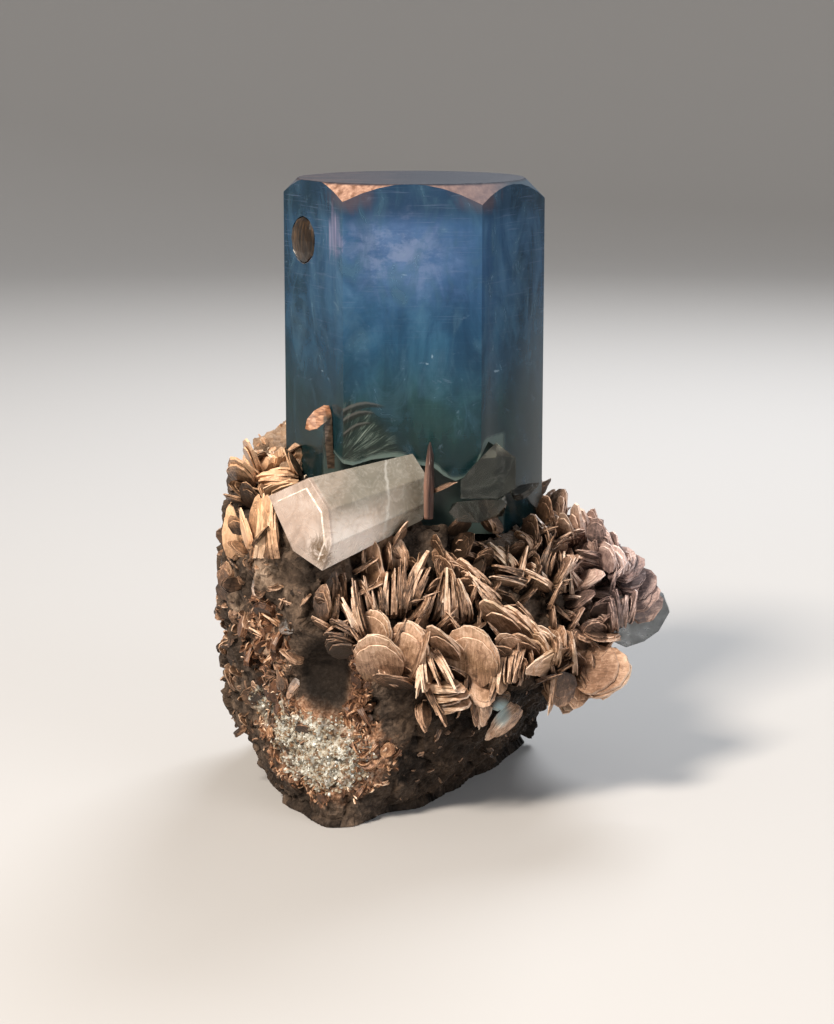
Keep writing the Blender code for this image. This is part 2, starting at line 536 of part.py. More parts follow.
def add_side_fans(fans, tree, group, seed):
    """Short fans standing on the sides or the back of the rock."""
    jitter = random.Random(seed)
    length, width, thickness = SIDE_BOOK
    for number, (bearing, height) in enumerate(fans):
        turn = math.radians(bearing)
        outward = Vector((math.cos(turn), math.sin(turn), 0))
        start = outward * 200 + Vector((0, 0, height + jitter.uniform(-2, 2)))
        hit, normal, _, _ = tree.ray_cast(start * MM, -outward)
        if hit is None:
            continue
        root = hit / MM - normal * ROOT_DEPTH
        spread = normal.cross(Vector((0, 0, 1))).normalized()
        lean = jitter.uniform(-0.5, 0.5)
        for book in range(SIDE_BOOKS):
            fan = (book - (SIDE_BOOKS - 1) / 2) * 0.55 + lean
            rise = Vector((0, 0, jitter.uniform(0.1, 0.7)))
            aim = (normal + spread * fan + rise).normalized()
            tip = root + aim * length * jitter.uniform(0.85, 1.15)
            bm = plate(root + spread * fan * 2, tip, width, thickness, jitter.uniform(-60, 60))
            add_object(f'side_{number}_{book}', bm, group)


def sight_prism(name, outline, group):
    """Solid that shows as the outline on the front sheet, from the front to past the back wall."""
    near, far = -120.0, BACK_WALL
    bm = bmesh.new()
    face = bm.faces.new([bm.verts.new(sight(x, z, near)) for x, z in outline])
    back = bmesh.ops.extrude_face_region(bm, geom=[face])
    for item in back['geom']:
        if isinstance(item, bmesh.types.BMVert):
            item.co = EYE + (item.co - EYE) * ((far - EYE.y) / (near - EYE.y))
    return hide_tool(add_object(name, bm, group))


def box(name, cell, low, group):
    """Upright box over the cell's (x, y) corners, from the height low up."""
    low, high = Vector((*cell[0], low)), Vector((*cell[1], FAR))
    bm = bmesh.new()
    bmesh.ops.create_cube(bm, size=1.0)
    bmesh.ops.scale(bm, vec=high - low, verts=bm.verts)
    bmesh.ops.translate(bm, vec=(low + high) / 2, verts=bm.verts)
    return hide_tool(add_object(name, bm, group))


def make_crust(name, region, cell, add_books, rock_clear, clearances, group, tools):
    """Mica crust: a bed moulded to the rock, with the books that grow from it."""
    crust = grown(tools.objects['block'], BED_LIFT, name, group)
    crust.hide_render = False
    crust.display_type = 'TEXTURED'
    boolean(crust, 'INTERSECT', region)
    books = collection(name + '_books')
    add_books(books)
    boolean(crust, 'UNION', books)
    for book in list(books.objects):
        bpy.data.objects.remove(book, do_unlink=True)
    bpy.data.collections.remove(books)
    boolean(crust, 'DIFFERENCE', rock_clear)
    boolean(crust, 'INTERSECT', cell)
    for clearance in clearances:
        boolean(crust, 'DIFFERENCE', clearance)
    return tidy(crust)


def make_flake(group):
    """Pale curved flake at the right edge."""
    bm = bmesh.new()
    front = [bm.verts.new(sight(x, z, EDGE_FLAKE_DEPTH)) for x, z in EDGE_FLAKE]
    face = bm.faces.new(front)
    back = bmesh.ops.extrude_face_region(bm, geom=[face])
    bmesh.ops.translate(bm, verts=[item for item in back['geom'] if isinstance(item, bmesh.types.BMVert)],
                        vec=(0, EDGE_FLAKE_THICKNESS, 0.6))
    return add_object('right_edge_flake', bm, group)


def make_inclusion(group):
    """Lens of mica let into the crystal's upper left face."""
    bm = bmesh.new()
    bmesh.ops.create_icosphere(bm, subdivisions=2, radius=0.5)
    bmesh.ops.scale(bm, vec=INCLUSION_SIZE, verts=bm.verts)
    wall = Vector(CRYSTAL_CORNERS[1]) - Vector(CRYSTAL_CORNERS[0])
    bmesh.ops.rotate(bm, cent=(0, 0, 0), verts=bm.verts,
                     matrix=Matrix.Rotation(math.atan2(wall.y, wall.x), 3, 'Z'))
    inward = Vector((-wall.y, wall.x, 0)).normalized()
    bmesh.ops.translate(bm, verts=bm.verts, vec=sight(*INCLUSION) + inward * INCLUSION_SINK)
    return add_object('mica_inclusion', bm, group)


def main():
    clear_scene()
    specimen = collection('aquamarine_specimen')
    tools = collection('cutters')

    rock = make_rock(specimen)
    tree = BVHTree.FromPolygons([v.co for v in rock.data.vertices],
                                [p.vertices for p in rock.data.polygons])
    rock_clear = grown(rock, GAP, 'rock_clearance', tools)

    aquamarine = make_aquamarine(specimen, tools)
    prism_clear = grown(aquamarine, GAP, 'prism_clearance', tools)
    front_face = min(y for _, y in CRYSTAL_CORNERS)
    broken = outline_cutter('broken_edge', RIM, front_face - 20, front_face + RIM_DEPTH, tools)
    boolean(aquamarine, 'DIFFERENCE', broken)
    inclusion = make_inclusion(specimen)
    boolean(aquamarine, 'DIFFERENCE', grown(inclusion, GAP, 'pocket', tools))
    pale = make_pale_crystal(specimen)
    boolean(pale, 'DIFFERENCE', grown(tidy(aquamarine), GAP, 'aquamarine_clearance', tools))
    wedge = add_object('clear_crystal', hull([sight(x, z, y) for x, z, y in WEDGE]), specimen)
    smoky = add_object('smoky_crystal', hull([sight(x, z, y) for x, z, y in SMOKY]), specimen)
    cap = add_object('cap_mica_flake', hull([sight(x, z, y) for x, z, y in CAP_FLAKE]), specimen)
    stalk = hide_tool(add_object('cap_stalk', hull([sight(x, z, y) for x, z, y in CAP_STALK]), tools))
    boolean(cap, 'UNION', stalk)
    standing = add_object('standing_mica_blade', hull([sight(x, z, y) for x, z, y in STANDING_BLADE]),
                          specimen)
    leaning = single_blade('leaning_mica_blade', LEANING_BLADE, specimen)
    dark = single_blade('dark_mica_blade', DARK_BLADE, specimen)
    flake = tidy(boolean(make_flake(specimen), 'DIFFERENCE', rock_clear))

    # Each later piece is cut clear of those before it.
    settled = [aquamarine, pale]
    for piece in (standing, wedge, leaning, smoky, dark, cap):
        for other in settled:
            boolean(piece, 'DIFFERENCE', grown(other, GAP, 'clearance', tools))
            tidy(piece)
        settled.append(piece)
    settled.append(flake)
    for piece in settled:
        tidy(piece)

    hide_tool(add_object('block', block_hull(), tools))
    clearances = [prism_clear] + [grown(piece, GAP, 'clearance', tools) for piece in settled[1:]]
    crusts = []
    for name, region, cell, add_books in (
            ('front_mica_crust', sight_prism('front_region', FRONT_BED, tools), FRONT_CELL,
             lambda books: (add_fans(FRONT_FANS, tree, books, SEED),
                            add_fill(FILL_OUTLINE, FRONT_FANS, tree, books, SEED),
                            add_side_fans(RIGHT_FANS, tree, books, SEED))),
            ('left_mica_crust', sight_prism('left_region', LEFT_BED, tools), LEFT_CELL,
             lambda books: add_fans(LEFT_FANS, tree, books, SEED + 1)),
            ('back_mica_crust', box('back_region', BACK_BED, BACK_BED_FOOT, tools), BACK_CELL,
             lambda books: add_side_fans(BACK_FANS, tree, books, SEED + 2))):
        cell = box('cell', cell, -FAR, tools)
        crusts.append(make_crust(name, region, cell, add_books, rock_clear, clearances, specimen, tools))

    for clearance in clearances:
        boolean(rock, 'DIFFERENCE', clearance)
    tidy(rock)

    paint(rock, 'rough_matrix', (0.33, 0.25, 0.19), 0.85)
    paint(aquamarine, 'blue_beryl', (0.25, 0.48, 0.58), 0.12, 0.7, 1.57)
    paint(pale, 'pale_beryl', (0.86, 0.80, 0.74), 0.2, 0.4, 1.55)
    paint(wedge, 'clear_beryl', (0.72, 0.78, 0.76), 0.1, 0.7, 1.55)
    paint(smoky, 'smoky_quartz', (0.42, 0.40, 0.36), 0.15, 0.5, 1.54)
    paint(cap, 'orange_mica', (0.62, 0.38, 0.22), 0.4)
    paint(standing, 'plum_mica', (0.24, 0.15, 0.13), 0.4)
    paint(leaning, 'pale_mica', (0.68, 0.58, 0.50), 0.4)
    paint(dark, 'dark_mica', (0.16, 0.15, 0.13), 0.45)
    paint(flake, 'grey_mica', (0.52, 0.53, 0.55), 0.35, 0.2)
    paint(inclusion, 'brown_mica', (0.36, 0.26, 0.16), 0.45)
    for crust in crusts:
        paint(crust, 'tan_mica', (0.60, 0.47, 0.38), 0.45)


main()
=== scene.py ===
"""An aquamarine crystal standing in mica-covered matrix rock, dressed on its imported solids.

Lengths are written in millimetres and turned into metres by MM. +Z is up and -Y is the display
side. Sections follow the specimen from its rock outwards, and the studio comes last.
"""
import math
import random

import bpy
import numpy as np
from mathutils import Matrix, Vector, noise
from mathutils.bvhtree import BVHTree


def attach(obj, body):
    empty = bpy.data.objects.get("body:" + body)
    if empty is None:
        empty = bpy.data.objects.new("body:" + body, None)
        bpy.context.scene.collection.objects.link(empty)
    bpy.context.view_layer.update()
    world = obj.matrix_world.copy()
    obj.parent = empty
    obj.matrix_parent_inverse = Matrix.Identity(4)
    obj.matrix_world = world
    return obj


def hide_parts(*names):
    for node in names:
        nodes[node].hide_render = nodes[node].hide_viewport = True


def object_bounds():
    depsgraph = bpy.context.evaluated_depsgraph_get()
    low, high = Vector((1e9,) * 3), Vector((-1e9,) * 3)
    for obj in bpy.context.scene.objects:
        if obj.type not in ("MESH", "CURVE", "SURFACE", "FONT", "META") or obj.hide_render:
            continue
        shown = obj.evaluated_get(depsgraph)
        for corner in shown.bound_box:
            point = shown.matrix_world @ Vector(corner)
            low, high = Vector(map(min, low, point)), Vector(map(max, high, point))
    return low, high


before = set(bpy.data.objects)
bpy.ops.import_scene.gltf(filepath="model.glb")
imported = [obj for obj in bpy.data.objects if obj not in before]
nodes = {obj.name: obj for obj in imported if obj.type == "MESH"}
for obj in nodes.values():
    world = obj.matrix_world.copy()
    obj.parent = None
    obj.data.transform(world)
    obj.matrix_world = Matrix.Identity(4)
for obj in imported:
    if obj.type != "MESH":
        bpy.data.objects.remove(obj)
cad_low, cad_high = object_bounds()
bpy.ops.object.select_all(action='DESELECT')


# ---- Matrix rock -------------------------------------------------------------------------
# A broken block of pegmatite: tan feldspar and brown mica, chipped all over where it left the
# vein, with a smooth hollow in front, painted dark as shade, and a white glittering patch of albite below it.
# It is one lump of natural stone, standing on the flat of its foot.
MM = 0.001
ROCK_MESH = 0.95                  # spacing of the points of the rock's surface
FOOT_CLEAR = 1.2                  # the surface isn't chipped this near to the ground
CHIP_SIZES = (10.0, 4.2, 1.9)     # across the flat chips, coarse to fine
CHIP_DEPTHS = (2.2, 1.1, 0.42)    # how deep each size of chip bites
CHIP_FLOOR = 1.5                  # and how far the middle of the chips lies under the solid
CHIP_SEED = 7                     # settles which way each chip tilts
GRIT_SIZE = 1.6                   # fine roughness over the chips, and its depth
GRIT_DEPTH = 0.22
BOX_CLEAR = 0.15                  # nothing reaches nearer than this to the sides of the box
# Parts of its surface, each the middle and the reach of an ellipsoid.
HOLLOW = (-24.0, -46.0, 43.0), (8.5, 14.0, 13.0)    # smooth, and painted dark as shade
ALBITE = (-27.5, -42.0, 20.5), (18.0, 24.0, 12.0)   # the white patch
LOBE = (-41.0, -32.0, 28.5), (10.0, 15.0, 9.0)      # and its upper left lobe
FLANK = (-47.0, -27.0, 50.0), (15.0, 28.0, 34.0)    # flaky, lighter stone on the left
LEDGE = (-42.0, -36.0, 46.0), (9.0, 14.0, 14.0)     # cream and orange flakes left of the hollow
RIDGE = (-15.2, -48.0, 36.0), (3.4, 11.0, 18.0)     # flaky, rusty ridge right of it
box_low = [value + BOX_CLEAR * MM for value in cad_low]
box_high = [value - BOX_CLEAR * MM for value in cad_high]


def open_piece(piece):
    """Make the piece the only selected one and open it in edit mode, all selected."""
    bpy.ops.object.select_all(action='DESELECT')
    piece.select_set(True)
    bpy.context.view_layer.objects.active = piece
    bpy.ops.object.mode_set(mode='EDIT')
    bpy.ops.mesh.select_all(action='SELECT')


def close_piece():
    bpy.ops.object.mode_set(mode='OBJECT')


def copy_of(node_name, name):
    """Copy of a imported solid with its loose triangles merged, to model on."""
    piece = bpy.data.objects.new(name, nodes[node_name].data.copy())
    bpy.context.scene.collection.objects.link(piece)
    piece.data.materials.clear()
    open_piece(piece)
    bpy.ops.mesh.remove_doubles(threshold=0.005 * MM)
    bpy.ops.mesh.dissolve_limited(angle_limit=math.radians(0.5))
    close_piece()
    return piece


def finish_with(piece, kind, **settings):
    """Add one modifier to the piece and apply it."""
    modifier = piece.modifiers.new(kind.title(), kind)
    for name, value in settings.items():
        setattr(modifier, name, value)
    bpy.context.view_layer.objects.active = piece
    bpy.ops.object.modifier_apply(modifier=modifier.name)


def within(point, middle, reach):
    """0 at the middle of an ellipsoid, 1 on its surface, more outside."""
    return math.sqrt(sum(((a - b) / c) ** 2 for a, b, c in zip(point, middle, reach)))


def chip(point, size):
    """Height from -1 to 1 of a surface broken into flat, tilted chips."""
    place = point / size
    middle = noise.voronoi(place)[1][0]
    tilt = noise.noise_vector(middle * 5.3)
    return max(-1.0, min(1.0, 1.9 * (place - middle).dot(tilt) + 0.7 * noise.noise(middle * 9.1)))


rock = copy_of('matrix_rock', 'rock')
finish_with(rock, 'REMESH', mode='VOXEL', voxel_size=ROCK_MESH * MM)
finish_with(rock, 'SMOOTH', factor=0.5, iterations=4)
noise.seed_set(CHIP_SEED)
depths = []
for vert in rock.data.vertices:
    point = vert.co / MM
    hollow = within(point, *HOLLOW)
    bite = max(0.15, min(1.0, (hollow - 0.7) * 2.0))
    depth = sum(deep * chip(point, size) for size, deep in zip(CHIP_SIZES, CHIP_DEPTHS)) * bite
    depth += GRIT_DEPTH * noise.fractal(point / GRIT_SIZE, 0.8, 2.0, 3)
    depths.append(depth)
outwards = [normal.vector.copy() for normal in rock.data.vertex_normals]
for vert, outward, depth in zip(rock.data.vertices, outwards, depths):
    if vert.co.z > FOOT_CLEAR * MM:
        vert.co -= outward * (depth + CHIP_FLOOR) * MM
    elif outward.z < -0.5:
        vert.co.z = 0.0
    for axis in (0, 1):
        vert.co[axis] = min(max(vert.co[axis], box_low[axis]), box_high[axis])
finish_with(rock, 'SMOOTH', factor=0.35, iterations=1)
# Each point's chip depth, kept to darken the stone in its creases as painted shade.
hollows = rock.data.attributes.new('depth', 'FLOAT', 'POINT')
hollows.data.foreach_set('value', [0.5 + depth / 4.0 for depth in depths])
rock.data.shade_flat()


def new_material(name):
    """Node material with its shader, and the place of each point in metres."""
    material = bpy.data.materials.new(name)
    material.use_nodes = True
    tree = material.node_tree
    place = tree.nodes.new('ShaderNodeTexCoord').outputs['Object']
    return material, tree.nodes['Principled BSDF'], place


def join(value, socket):
    """Set a socket to a plain value, or link it to an output."""
    if isinstance(value, bpy.types.NodeSocket):
        socket.id_data.links.new(value, socket)
    else:
        socket.default_value = value


def add_node(kind, inputs, **settings):
    """New node linked to its inputs. Returns the first output in use."""
    tree = next(value.id_data for value in inputs.values() if isinstance(value, bpy.types.NodeSocket))
    node = tree.nodes.new('ShaderNode' + kind)
    for name, value in settings.items():
        setattr(node, name, value)
    for name, value in inputs.items():
        join(value, node.inputs[name])
    return next(output for output in node.outputs if output.enabled)


def read(shader, name, output='Fac'):
    """Attribute of the mesh."""
    node = shader.id_data.nodes.new('ShaderNodeAttribute')
    node.attribute_name = name
    return node.outputs[output]


def axes_of(place):
    """X, Y and Z of each point in millimetres."""
    in_mm = add_node('VectorMath', {0: place, 'Scale': 1 / MM}, operation='SCALE')
    return add_node('SeparateXYZ', {0: in_mm}).node.outputs


def math_of(operation, first, second=0.0):
    return add_node('Math', {0: first, 1: second}, operation=operation)


def times(first, second):
    return math_of('MULTIPLY', first, second)


def plus(first, second):
    return math_of('ADD', first, second)


def minus(first, second):
    return math_of('SUBTRACT', first, second)


def most(first, second):
    return math_of('MAXIMUM', first, second)


def mix_of(share, first, second, blend='MIX'):
    """Blend of two colours."""
    mixed = add_node('Mix', {0: share, 6: first, 7: second}, data_type='RGBA', blend_type=blend)
    return mixed.node.outputs[2]


def coated(base, *coats):
    """Lay coats over a base colour, each a mask and a colour."""
    for mask, colour in coats:
        base = mix_of(mask, base, (*colour, 1) if isinstance(colour, tuple) else colour)
    return base


def span(value, low, high, to_low=0.0, to_high=1.0):
    """Smooth rise from to_low to to_high as the value goes from low to high."""
    return add_node('MapRange', {0: value, 1: low, 2: high, 3: to_low, 4: to_high},
                    interpolation_type='SMOOTHSTEP')


def grain_of(place, scale, detail=4.0, rough=0.55, stretch=(1, 1, 1), bend=0.0):
    """Noise with scale features to a metre, drawn out along an axis by a low stretch."""
    mapped = add_node('Mapping', {'Vector': place, 'Scale': stretch})
    return add_node('TexNoise', {'Vector': mapped, 'Scale': scale, 'Detail': detail,
                                 'Roughness': rough, 'Distortion': bend})


def ramp_of(value, stops):
    """Colour ramp with stops of position, red, green and blue."""
    ramp = add_node('ValToRGB', {0: value})
    elements = ramp.node.color_ramp.elements
    while len(elements) < len(stops):
        elements.new(0.5)
    for element, (position, *colour) in zip(elements, stops):
        element.position = position
        element.color = (*colour, 1)
    return ramp


def reach_mask(place, middle, reach, ragged, low, high):
    """1 inside an ellipsoid with a ragged edge, 0 outside."""
    shrink = tuple(1 / (size * MM) for size in reach)
    shift = tuple(-m * s * MM for m, s in zip(middle, shrink))
    mapped = add_node('Mapping', {'Vector': place, 'Location': shift, 'Scale': shrink})
    away = add_node('VectorMath', {0: mapped}, operation='LENGTH')
    return span(plus(away.node.outputs['Value'], ragged), low, high, 1.0, 0.0)


def give_look(shader, look):
    """Set the shader's own sockets: plain values, or links to what changes over the surface."""
    for name, value in look.items():
        join(value, shader.inputs[name])


def roughen(shader, height, strength, depth):
    """Fine relief up to a depth in millimetres."""
    bump = add_node('Bump', {'Height': height, 'Strength': strength, 'Distance': depth * MM})
    join(bump, shader.inputs['Normal'])


def dress(piece, node_name, slot, *finishes):
    """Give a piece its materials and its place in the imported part."""
    for finish in finishes:
        piece.data.materials.append(finish)
    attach(piece, 'root')
    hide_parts(node_name)


rock_stone, shader, place = new_material('pegmatite')
blotches = grain_of(place, 70, 6, 0.62)
speckle = grain_of(place, 900, 3, 0.7)
tone = plus(times(blotches, 0.75), times(speckle, 0.35))
stone = ramp_of(tone, ((0.36, 0.016, 0.012, 0.009), (0.50, 0.050, 0.036, 0.027),
                       (0.62, 0.115, 0.080, 0.057), (0.76, 0.26, 0.18, 0.125)))
light_stone = ramp_of(tone, ((0.38, 0.055, 0.038, 0.027), (0.50, 0.17, 0.115, 0.080),
                             (0.62, 0.36, 0.26, 0.185), (0.74, 0.62, 0.49, 0.38)))
rust = ramp_of(speckle, ((0.35, 0.13, 0.060, 0.030), (0.55, 0.38, 0.205, 0.120),
                         (0.75, 0.70, 0.50, 0.35)))
albite = ramp_of(speckle, ((0.36, 0.22, 0.14, 0.08), (0.46, 0.42, 0.38, 0.30),
                           (0.62, 0.60, 0.60, 0.55)))
ragged = times(minus(grain_of(place, 260, 4, 0.6), 0.5), 1.3)
flank = reach_mask(place, *FLANK, ragged, 0.7, 1.2)
ledge = reach_mask(place, *LEDGE, ragged, 0.5, 1.2)
ridge = reach_mask(place, *RIDGE, ragged, 0.6, 1.25)
rim = reach_mask(place, *ALBITE, ragged, 0.95, 1.35)
patch = reach_mask(place, *ALBITE, ragged, 0.62, 0.95)
lobe = reach_mask(place, *LOBE, ragged, 0.60, 0.95)
# Painted shade: the hollow darkened to near black.
hollow_shade = reach_mask(place, *HOLLOW, times(ragged, 0.4), 0.70, 1.05)
stone = coated(stone, (times(flank, span(blotches, 0.46, 0.62, 0.0, 0.75)), light_stone),
               (times(ledge, span(speckle, 0.44, 0.60)), rust), (times(ridge, 0.8), rust),
               (times(rim, 0.8), rust), (most(patch, lobe), albite),
               (times(hollow_shade, 0.9), (0.011, 0.008, 0.006)))
x, _, z = axes_of(place)
# Painted shade: the lower right of the rock, under the mica, darkened.
shade_under_mica = times(span(x, -12, 4), span(z, 60, 42))
stone = mix_of(times(shade_under_mica, 0.90), stone, (0.24, 0.22, 0.20, 1), 'MULTIPLY')
# Painted warm light: the rock's top on the left lightened to tan and warmed.
painted_light_crown = times(span(x, -26, -34), span(z, 86, 95))
stone = coated(stone, (times(painted_light_crown, 0.8), light_stone), (times(painted_light_crown, 0.35), (0.46, 0.30, 0.19)))
# Painted shade: the deeper parts of the chips darkened.
shade = span(read(shader, 'depth'), 0.35, 0.95, 1.15, 0.30)
stone = add_node('VectorMath', {0: stone, 'Scale': shade}, operation='SCALE')
give_look(shader, {'Base Color': stone, 'Roughness': span(speckle, 0.4, 0.65, 0.85, 0.5),
                   'Specular IOR Level': 0.15})
roughen(shader, plus(speckle, grain_of(place, 2600, 2, 0.6)), strength=0.7, depth=0.35)
dress(rock, 'matrix_rock', 'rock', rock_stone)


# ---- Mica books --------------------------------------------------------------------------
# Muscovite grows as books: stacks of thin leaves, rounded or six-sided, split apart at their
# ragged free ends. Three books, one broad disc and one thin scale are modelled once, one unit
# wide, long and thick, with the root at the origin and the tip along +Y.
LEAF_GAP = 0.04                   # share of a leaf's thickness left open to the next
LEAF_THIN = 0.62                  # how much thinner a book is at its tip


def mica_book(name, leaves, sides, ragged, splay, ends, point, seed):
    """Unit stack of leaves. ends is how much shorter the outer leaves are than the middle one."""
    draw = random.Random(seed).uniform
    shares = [draw(0.5, 1.5) for _ in range(leaves)]
    stack = []
    off = -0.5
    for share in shares:
        depth = share / sum(shares)
        bpy.ops.object.select_all(action='DESELECT')
        bpy.ops.mesh.primitive_cylinder_add(vertices=sides, radius=0.5, depth=depth - LEAF_GAP / leaves)
        leaf = bpy.context.object
        off += depth / 2
        long = 1 - ends * abs(2 * off) ** 1.5 - draw(0, ragged)
        wide = 1 - draw(0, ragged)
        twist = draw(-0.05, 0.05)
        notches = [1 - draw(0, ragged) for _ in range(sides)]
        for index, vert in enumerate(leaf.data.vertices):
            notch = notches[(index // 2) % sides]
            y = (vert.co.y * notch + 0.5) * long
            x = vert.co.x * wide * notch * (1 - point * y * y) + twist * y
            thin = 1 - LEAF_THIN * y * y
            bend = 0.4 * math.sin(2.6 * y + seed)
            vert.co = (x, y, (vert.co.z + off) * thin + (off * splay + bend) * y * y)
        off += depth / 2
        stack.append(leaf)
    bpy.ops.object.select_all(action='DESELECT')
    for leaf in stack:
        leaf.select_set(True)
    bpy.context.view_layer.objects.active = stack[0]
    bpy.ops.object.join()
    book = bpy.context.object
    book.name = name
    bpy.ops.object.transform_apply()
    return book


BOOKS = [mica_book('book_a', 4, 10, 0.10, 0.10, 0.36, 0.45, 3),
         mica_book('book_b', 3, 11, 0.12, 0.24, 0.26, 0.30, 8),
         mica_book('book_c', 5, 9, 0.08, 0.04, 0.46, 0.55, 15)]
DISC = mica_book('disc', 4, 26, 0.08, 0.30, 0.30, 0.10, 21)
SCALE = mica_book('scale', 1, 7, 0.30, 0.0, 0.0, 0.0, 34)


def grown(name, places, seed):
    """One mesh of copies: each place is (master, matrix in mm, (width, length, thickness), tone)."""
    draw = random.Random(seed).uniform
    corners, faces, grain, tones, reaches, rims = [], [], [], [], [], []
    count = 0
    shapes = {}
    for master, matrix, size, tone in places:
        if master.name not in shapes:
            mesh = master.data
            unit = np.array([vert.co for vert in mesh.vertices])
            polygons = [tuple(polygon.vertices) for polygon in mesh.polygons]
            edge_on = [float(abs(polygon.normal.z) < 0.7) for polygon in mesh.polygons]
            shapes[master.name] = (unit, polygons, edge_on)
        unit, polygons, edge_on = shapes[master.name]
        local = unit * np.array(size)
        turn = np.array(matrix)
        corners.append(np.clip((local @ turn[:3, :3].T + turn[:3, 3]) * MM, box_low, box_high))
        grain.append(local + np.array([draw(0, 90) for _ in range(3)]))
        tones.append(np.full(len(unit), tone))
        reaches.append(unit[:, 1])
        faces.extend(tuple(index + count for index in polygon) for polygon in polygons)
        rims.extend(edge_on)
        count += len(unit)
    mesh = bpy.data.meshes.new(name)
    mesh.from_pydata(np.concatenate(corners).tolist(), [], faces)
    mesh.update()
    for label, kind, domain, field, values in (
            ('grain', 'FLOAT_VECTOR', 'POINT', 'vector', np.concatenate(grain)),
            ('tone', 'FLOAT', 'POINT', 'value', np.concatenate(tones)),
            ('reach', 'FLOAT', 'POINT', 'value', np.concatenate(reaches)),
            ('rim', 'FLOAT', 'FACE', 'value', np.array(rims))):
        attribute = mesh.attributes.new(label, kind, domain)
        attribute.data.foreach_set(field, values.astype(np.float32).ravel())
    piece = bpy.data.objects.new(name, mesh)
    bpy.context.scene.collection.objects.link(piece)
    return piece


leaf_grain = bpy.data.node_groups.new('leaf_grain', 'ShaderNodeTree')
for label, kind in (('Grain', 'NodeSocketVector'), ('Tone', 'NodeSocketFloat'), ('Rim', 'NodeSocketFloat'),
                    ('Reach', 'NodeSocketFloat')):
    leaf_grain.interface.new_socket(label, in_out='INPUT', socket_type=kind)
for label in ('Light', 'Height'):
    leaf_grain.interface.new_socket(label, in_out='OUTPUT', socket_type='NodeSocketFloat')
given = leaf_grain.nodes.new('NodeGroupInput').outputs
streaks = grain_of(given['Grain'], 1.0, 4, 0.65, (1.6, 0.20, 3.2), 0.5)
clouds = grain_of(given['Grain'], 0.35, 4, 0.65)
# Tone, reach, rim and clouds lighten each leaf; reach darkens each book towards its root, as painted shade
# between the books.
light = -0.42
for value, share in ((given['Tone'], 0.52), (given['Reach'], 0.30), (given['Rim'], 0.20), (clouds, 0.55)):
    light = plus(light, times(value, share))
lined = plus(times(given['Rim'], 0.55), 0.60)
light = plus(light, times(minus(streaks, 0.5), lined))
arcs = plus(times(given['Reach'], 34.0), times(clouds, 30.0))
arcs = times(span(math_of('SINE', arcs), 0.75, 1.0, 0.0, 0.09), minus(1.0, given['Rim']))
sent = leaf_grain.nodes.new('NodeGroupOutput').inputs
join(plus(light, arcs), sent['Light'])
join(plus(streaks, times(arcs, 2.0)), sent['Height'])


def leaf_light(shader):
    """The leaf_grain group fed by the mesh's own attributes: its outputs."""
    node = shader.id_data.nodes.new('ShaderNodeGroup')
    node.node_tree = leaf_grain
    join(read(shader, 'grain', 'Vector'), node.inputs['Grain'])
    for label in ('Tone', 'Rim', 'Reach'):
        join(read(shader, label.lower()), node.inputs[label])
    return node.outputs


def pearly(shader, colour, height, roughness=0.42):
    """Pearly finish of a mica leaf."""
    gloss = span(height, 0.3, 0.7, roughness + 0.12, roughness - 0.1)
    give_look(shader, {'Base Color': colour, 'Roughness': gloss, 'Specular IOR Level': 0.4,
                       'Coat Weight': 0.1, 'Coat Roughness': 0.3})
    roughen(shader, height, strength=0.5, depth=0.25)


tan_mica, shader, place = new_material('tan_mica')
lights = leaf_light(shader)
leaf = ramp_of(lights['Light'], ((0.05, 0.030, 0.018, 0.011), (0.26, 0.140, 0.080, 0.050),
                                 (0.42, 0.400, 0.235, 0.145), (0.60, 0.720, 0.480, 0.330),
                                 (0.88, 0.97, 0.78, 0.62)))
patches = grain_of(place, 90, 3, 0.6)
olive = times(span(patches, 0.50, 0.66), 0.55)
leaf = mix_of(olive, leaf, (0.50, 0.46, 0.33, 1), 'MULTIPLY')
x, _, z = axes_of(place)
shoulder = times(span(x, 36, 56), span(z, 44, 62))
lilac = ramp_of(lights['Light'], ((0.08, 0.055, 0.042, 0.046), (0.40, 0.40, 0.295, 0.300),
                                  (0.75, 0.90, 0.78, 0.80)))
leaf = mix_of(times(shoulder, 0.65), leaf, lilac)
# Painted warm light on the left books: brightened, and warmed on their lighter parts.
warm_light_zone = reach_mask(place, (-44, -26, 92), (20, 30, 26), 0.0, 0.5, 1.1)
leaf = mix_of(times(warm_light_zone, 0.7), leaf, (1.20, 1.03, 0.80, 1), 'MULTIPLY')
leaf = mix_of(times(warm_light_zone, span(lights['Light'], 0.10, 0.45, 0.0, 0.40)), leaf, (0.85, 0.56, 0.34, 1))
# Painted shade: the books low on the right darkened.
shade_zone_right = reach_mask(place, (49, -50, 42), (11, 30, 12), 0.0, 0.5, 1.1)
leaf = mix_of(times(shade_zone_right, 0.8), leaf, (0.42, 0.37, 0.36, 1), 'MULTIPLY')
glaze = reach_mask(place, (23.4, -50, 31.0), (3.6, 16, 5.0), 0.0, 0.6, 1.1)
leaf = mix_of(times(glaze, 0.8), leaf, (0.46, 0.58, 0.58, 1))
pearly(shader, leaf, lights['Height'])


# ---- Front mica crust --------------------------------------------------------------------
# Rosettes and fans of muscovite books grown over the front and right of the rock. Each fan is
# set out on the front sheet, the upright plane through the crystal's axis as the display side
# shows it, and carried along the line of sight onto the rock, where its roots are sunk.
EYE = Vector((0.6, -665.0, 211.0))  # where the display side is looked at from
ROOT_DEPTH = 2.0                  # roots reach this far under the rock's surface
SIDE_DEPTH = -30.0                # depth at which a book beside the rock looks for it
TIP_REACH = (12, 14)              # a tip is at most this far before or behind its root


def alone(root, tip, *sizes):
    """A fan of one book."""
    return (root, root, tip, tip, 1, *sizes)


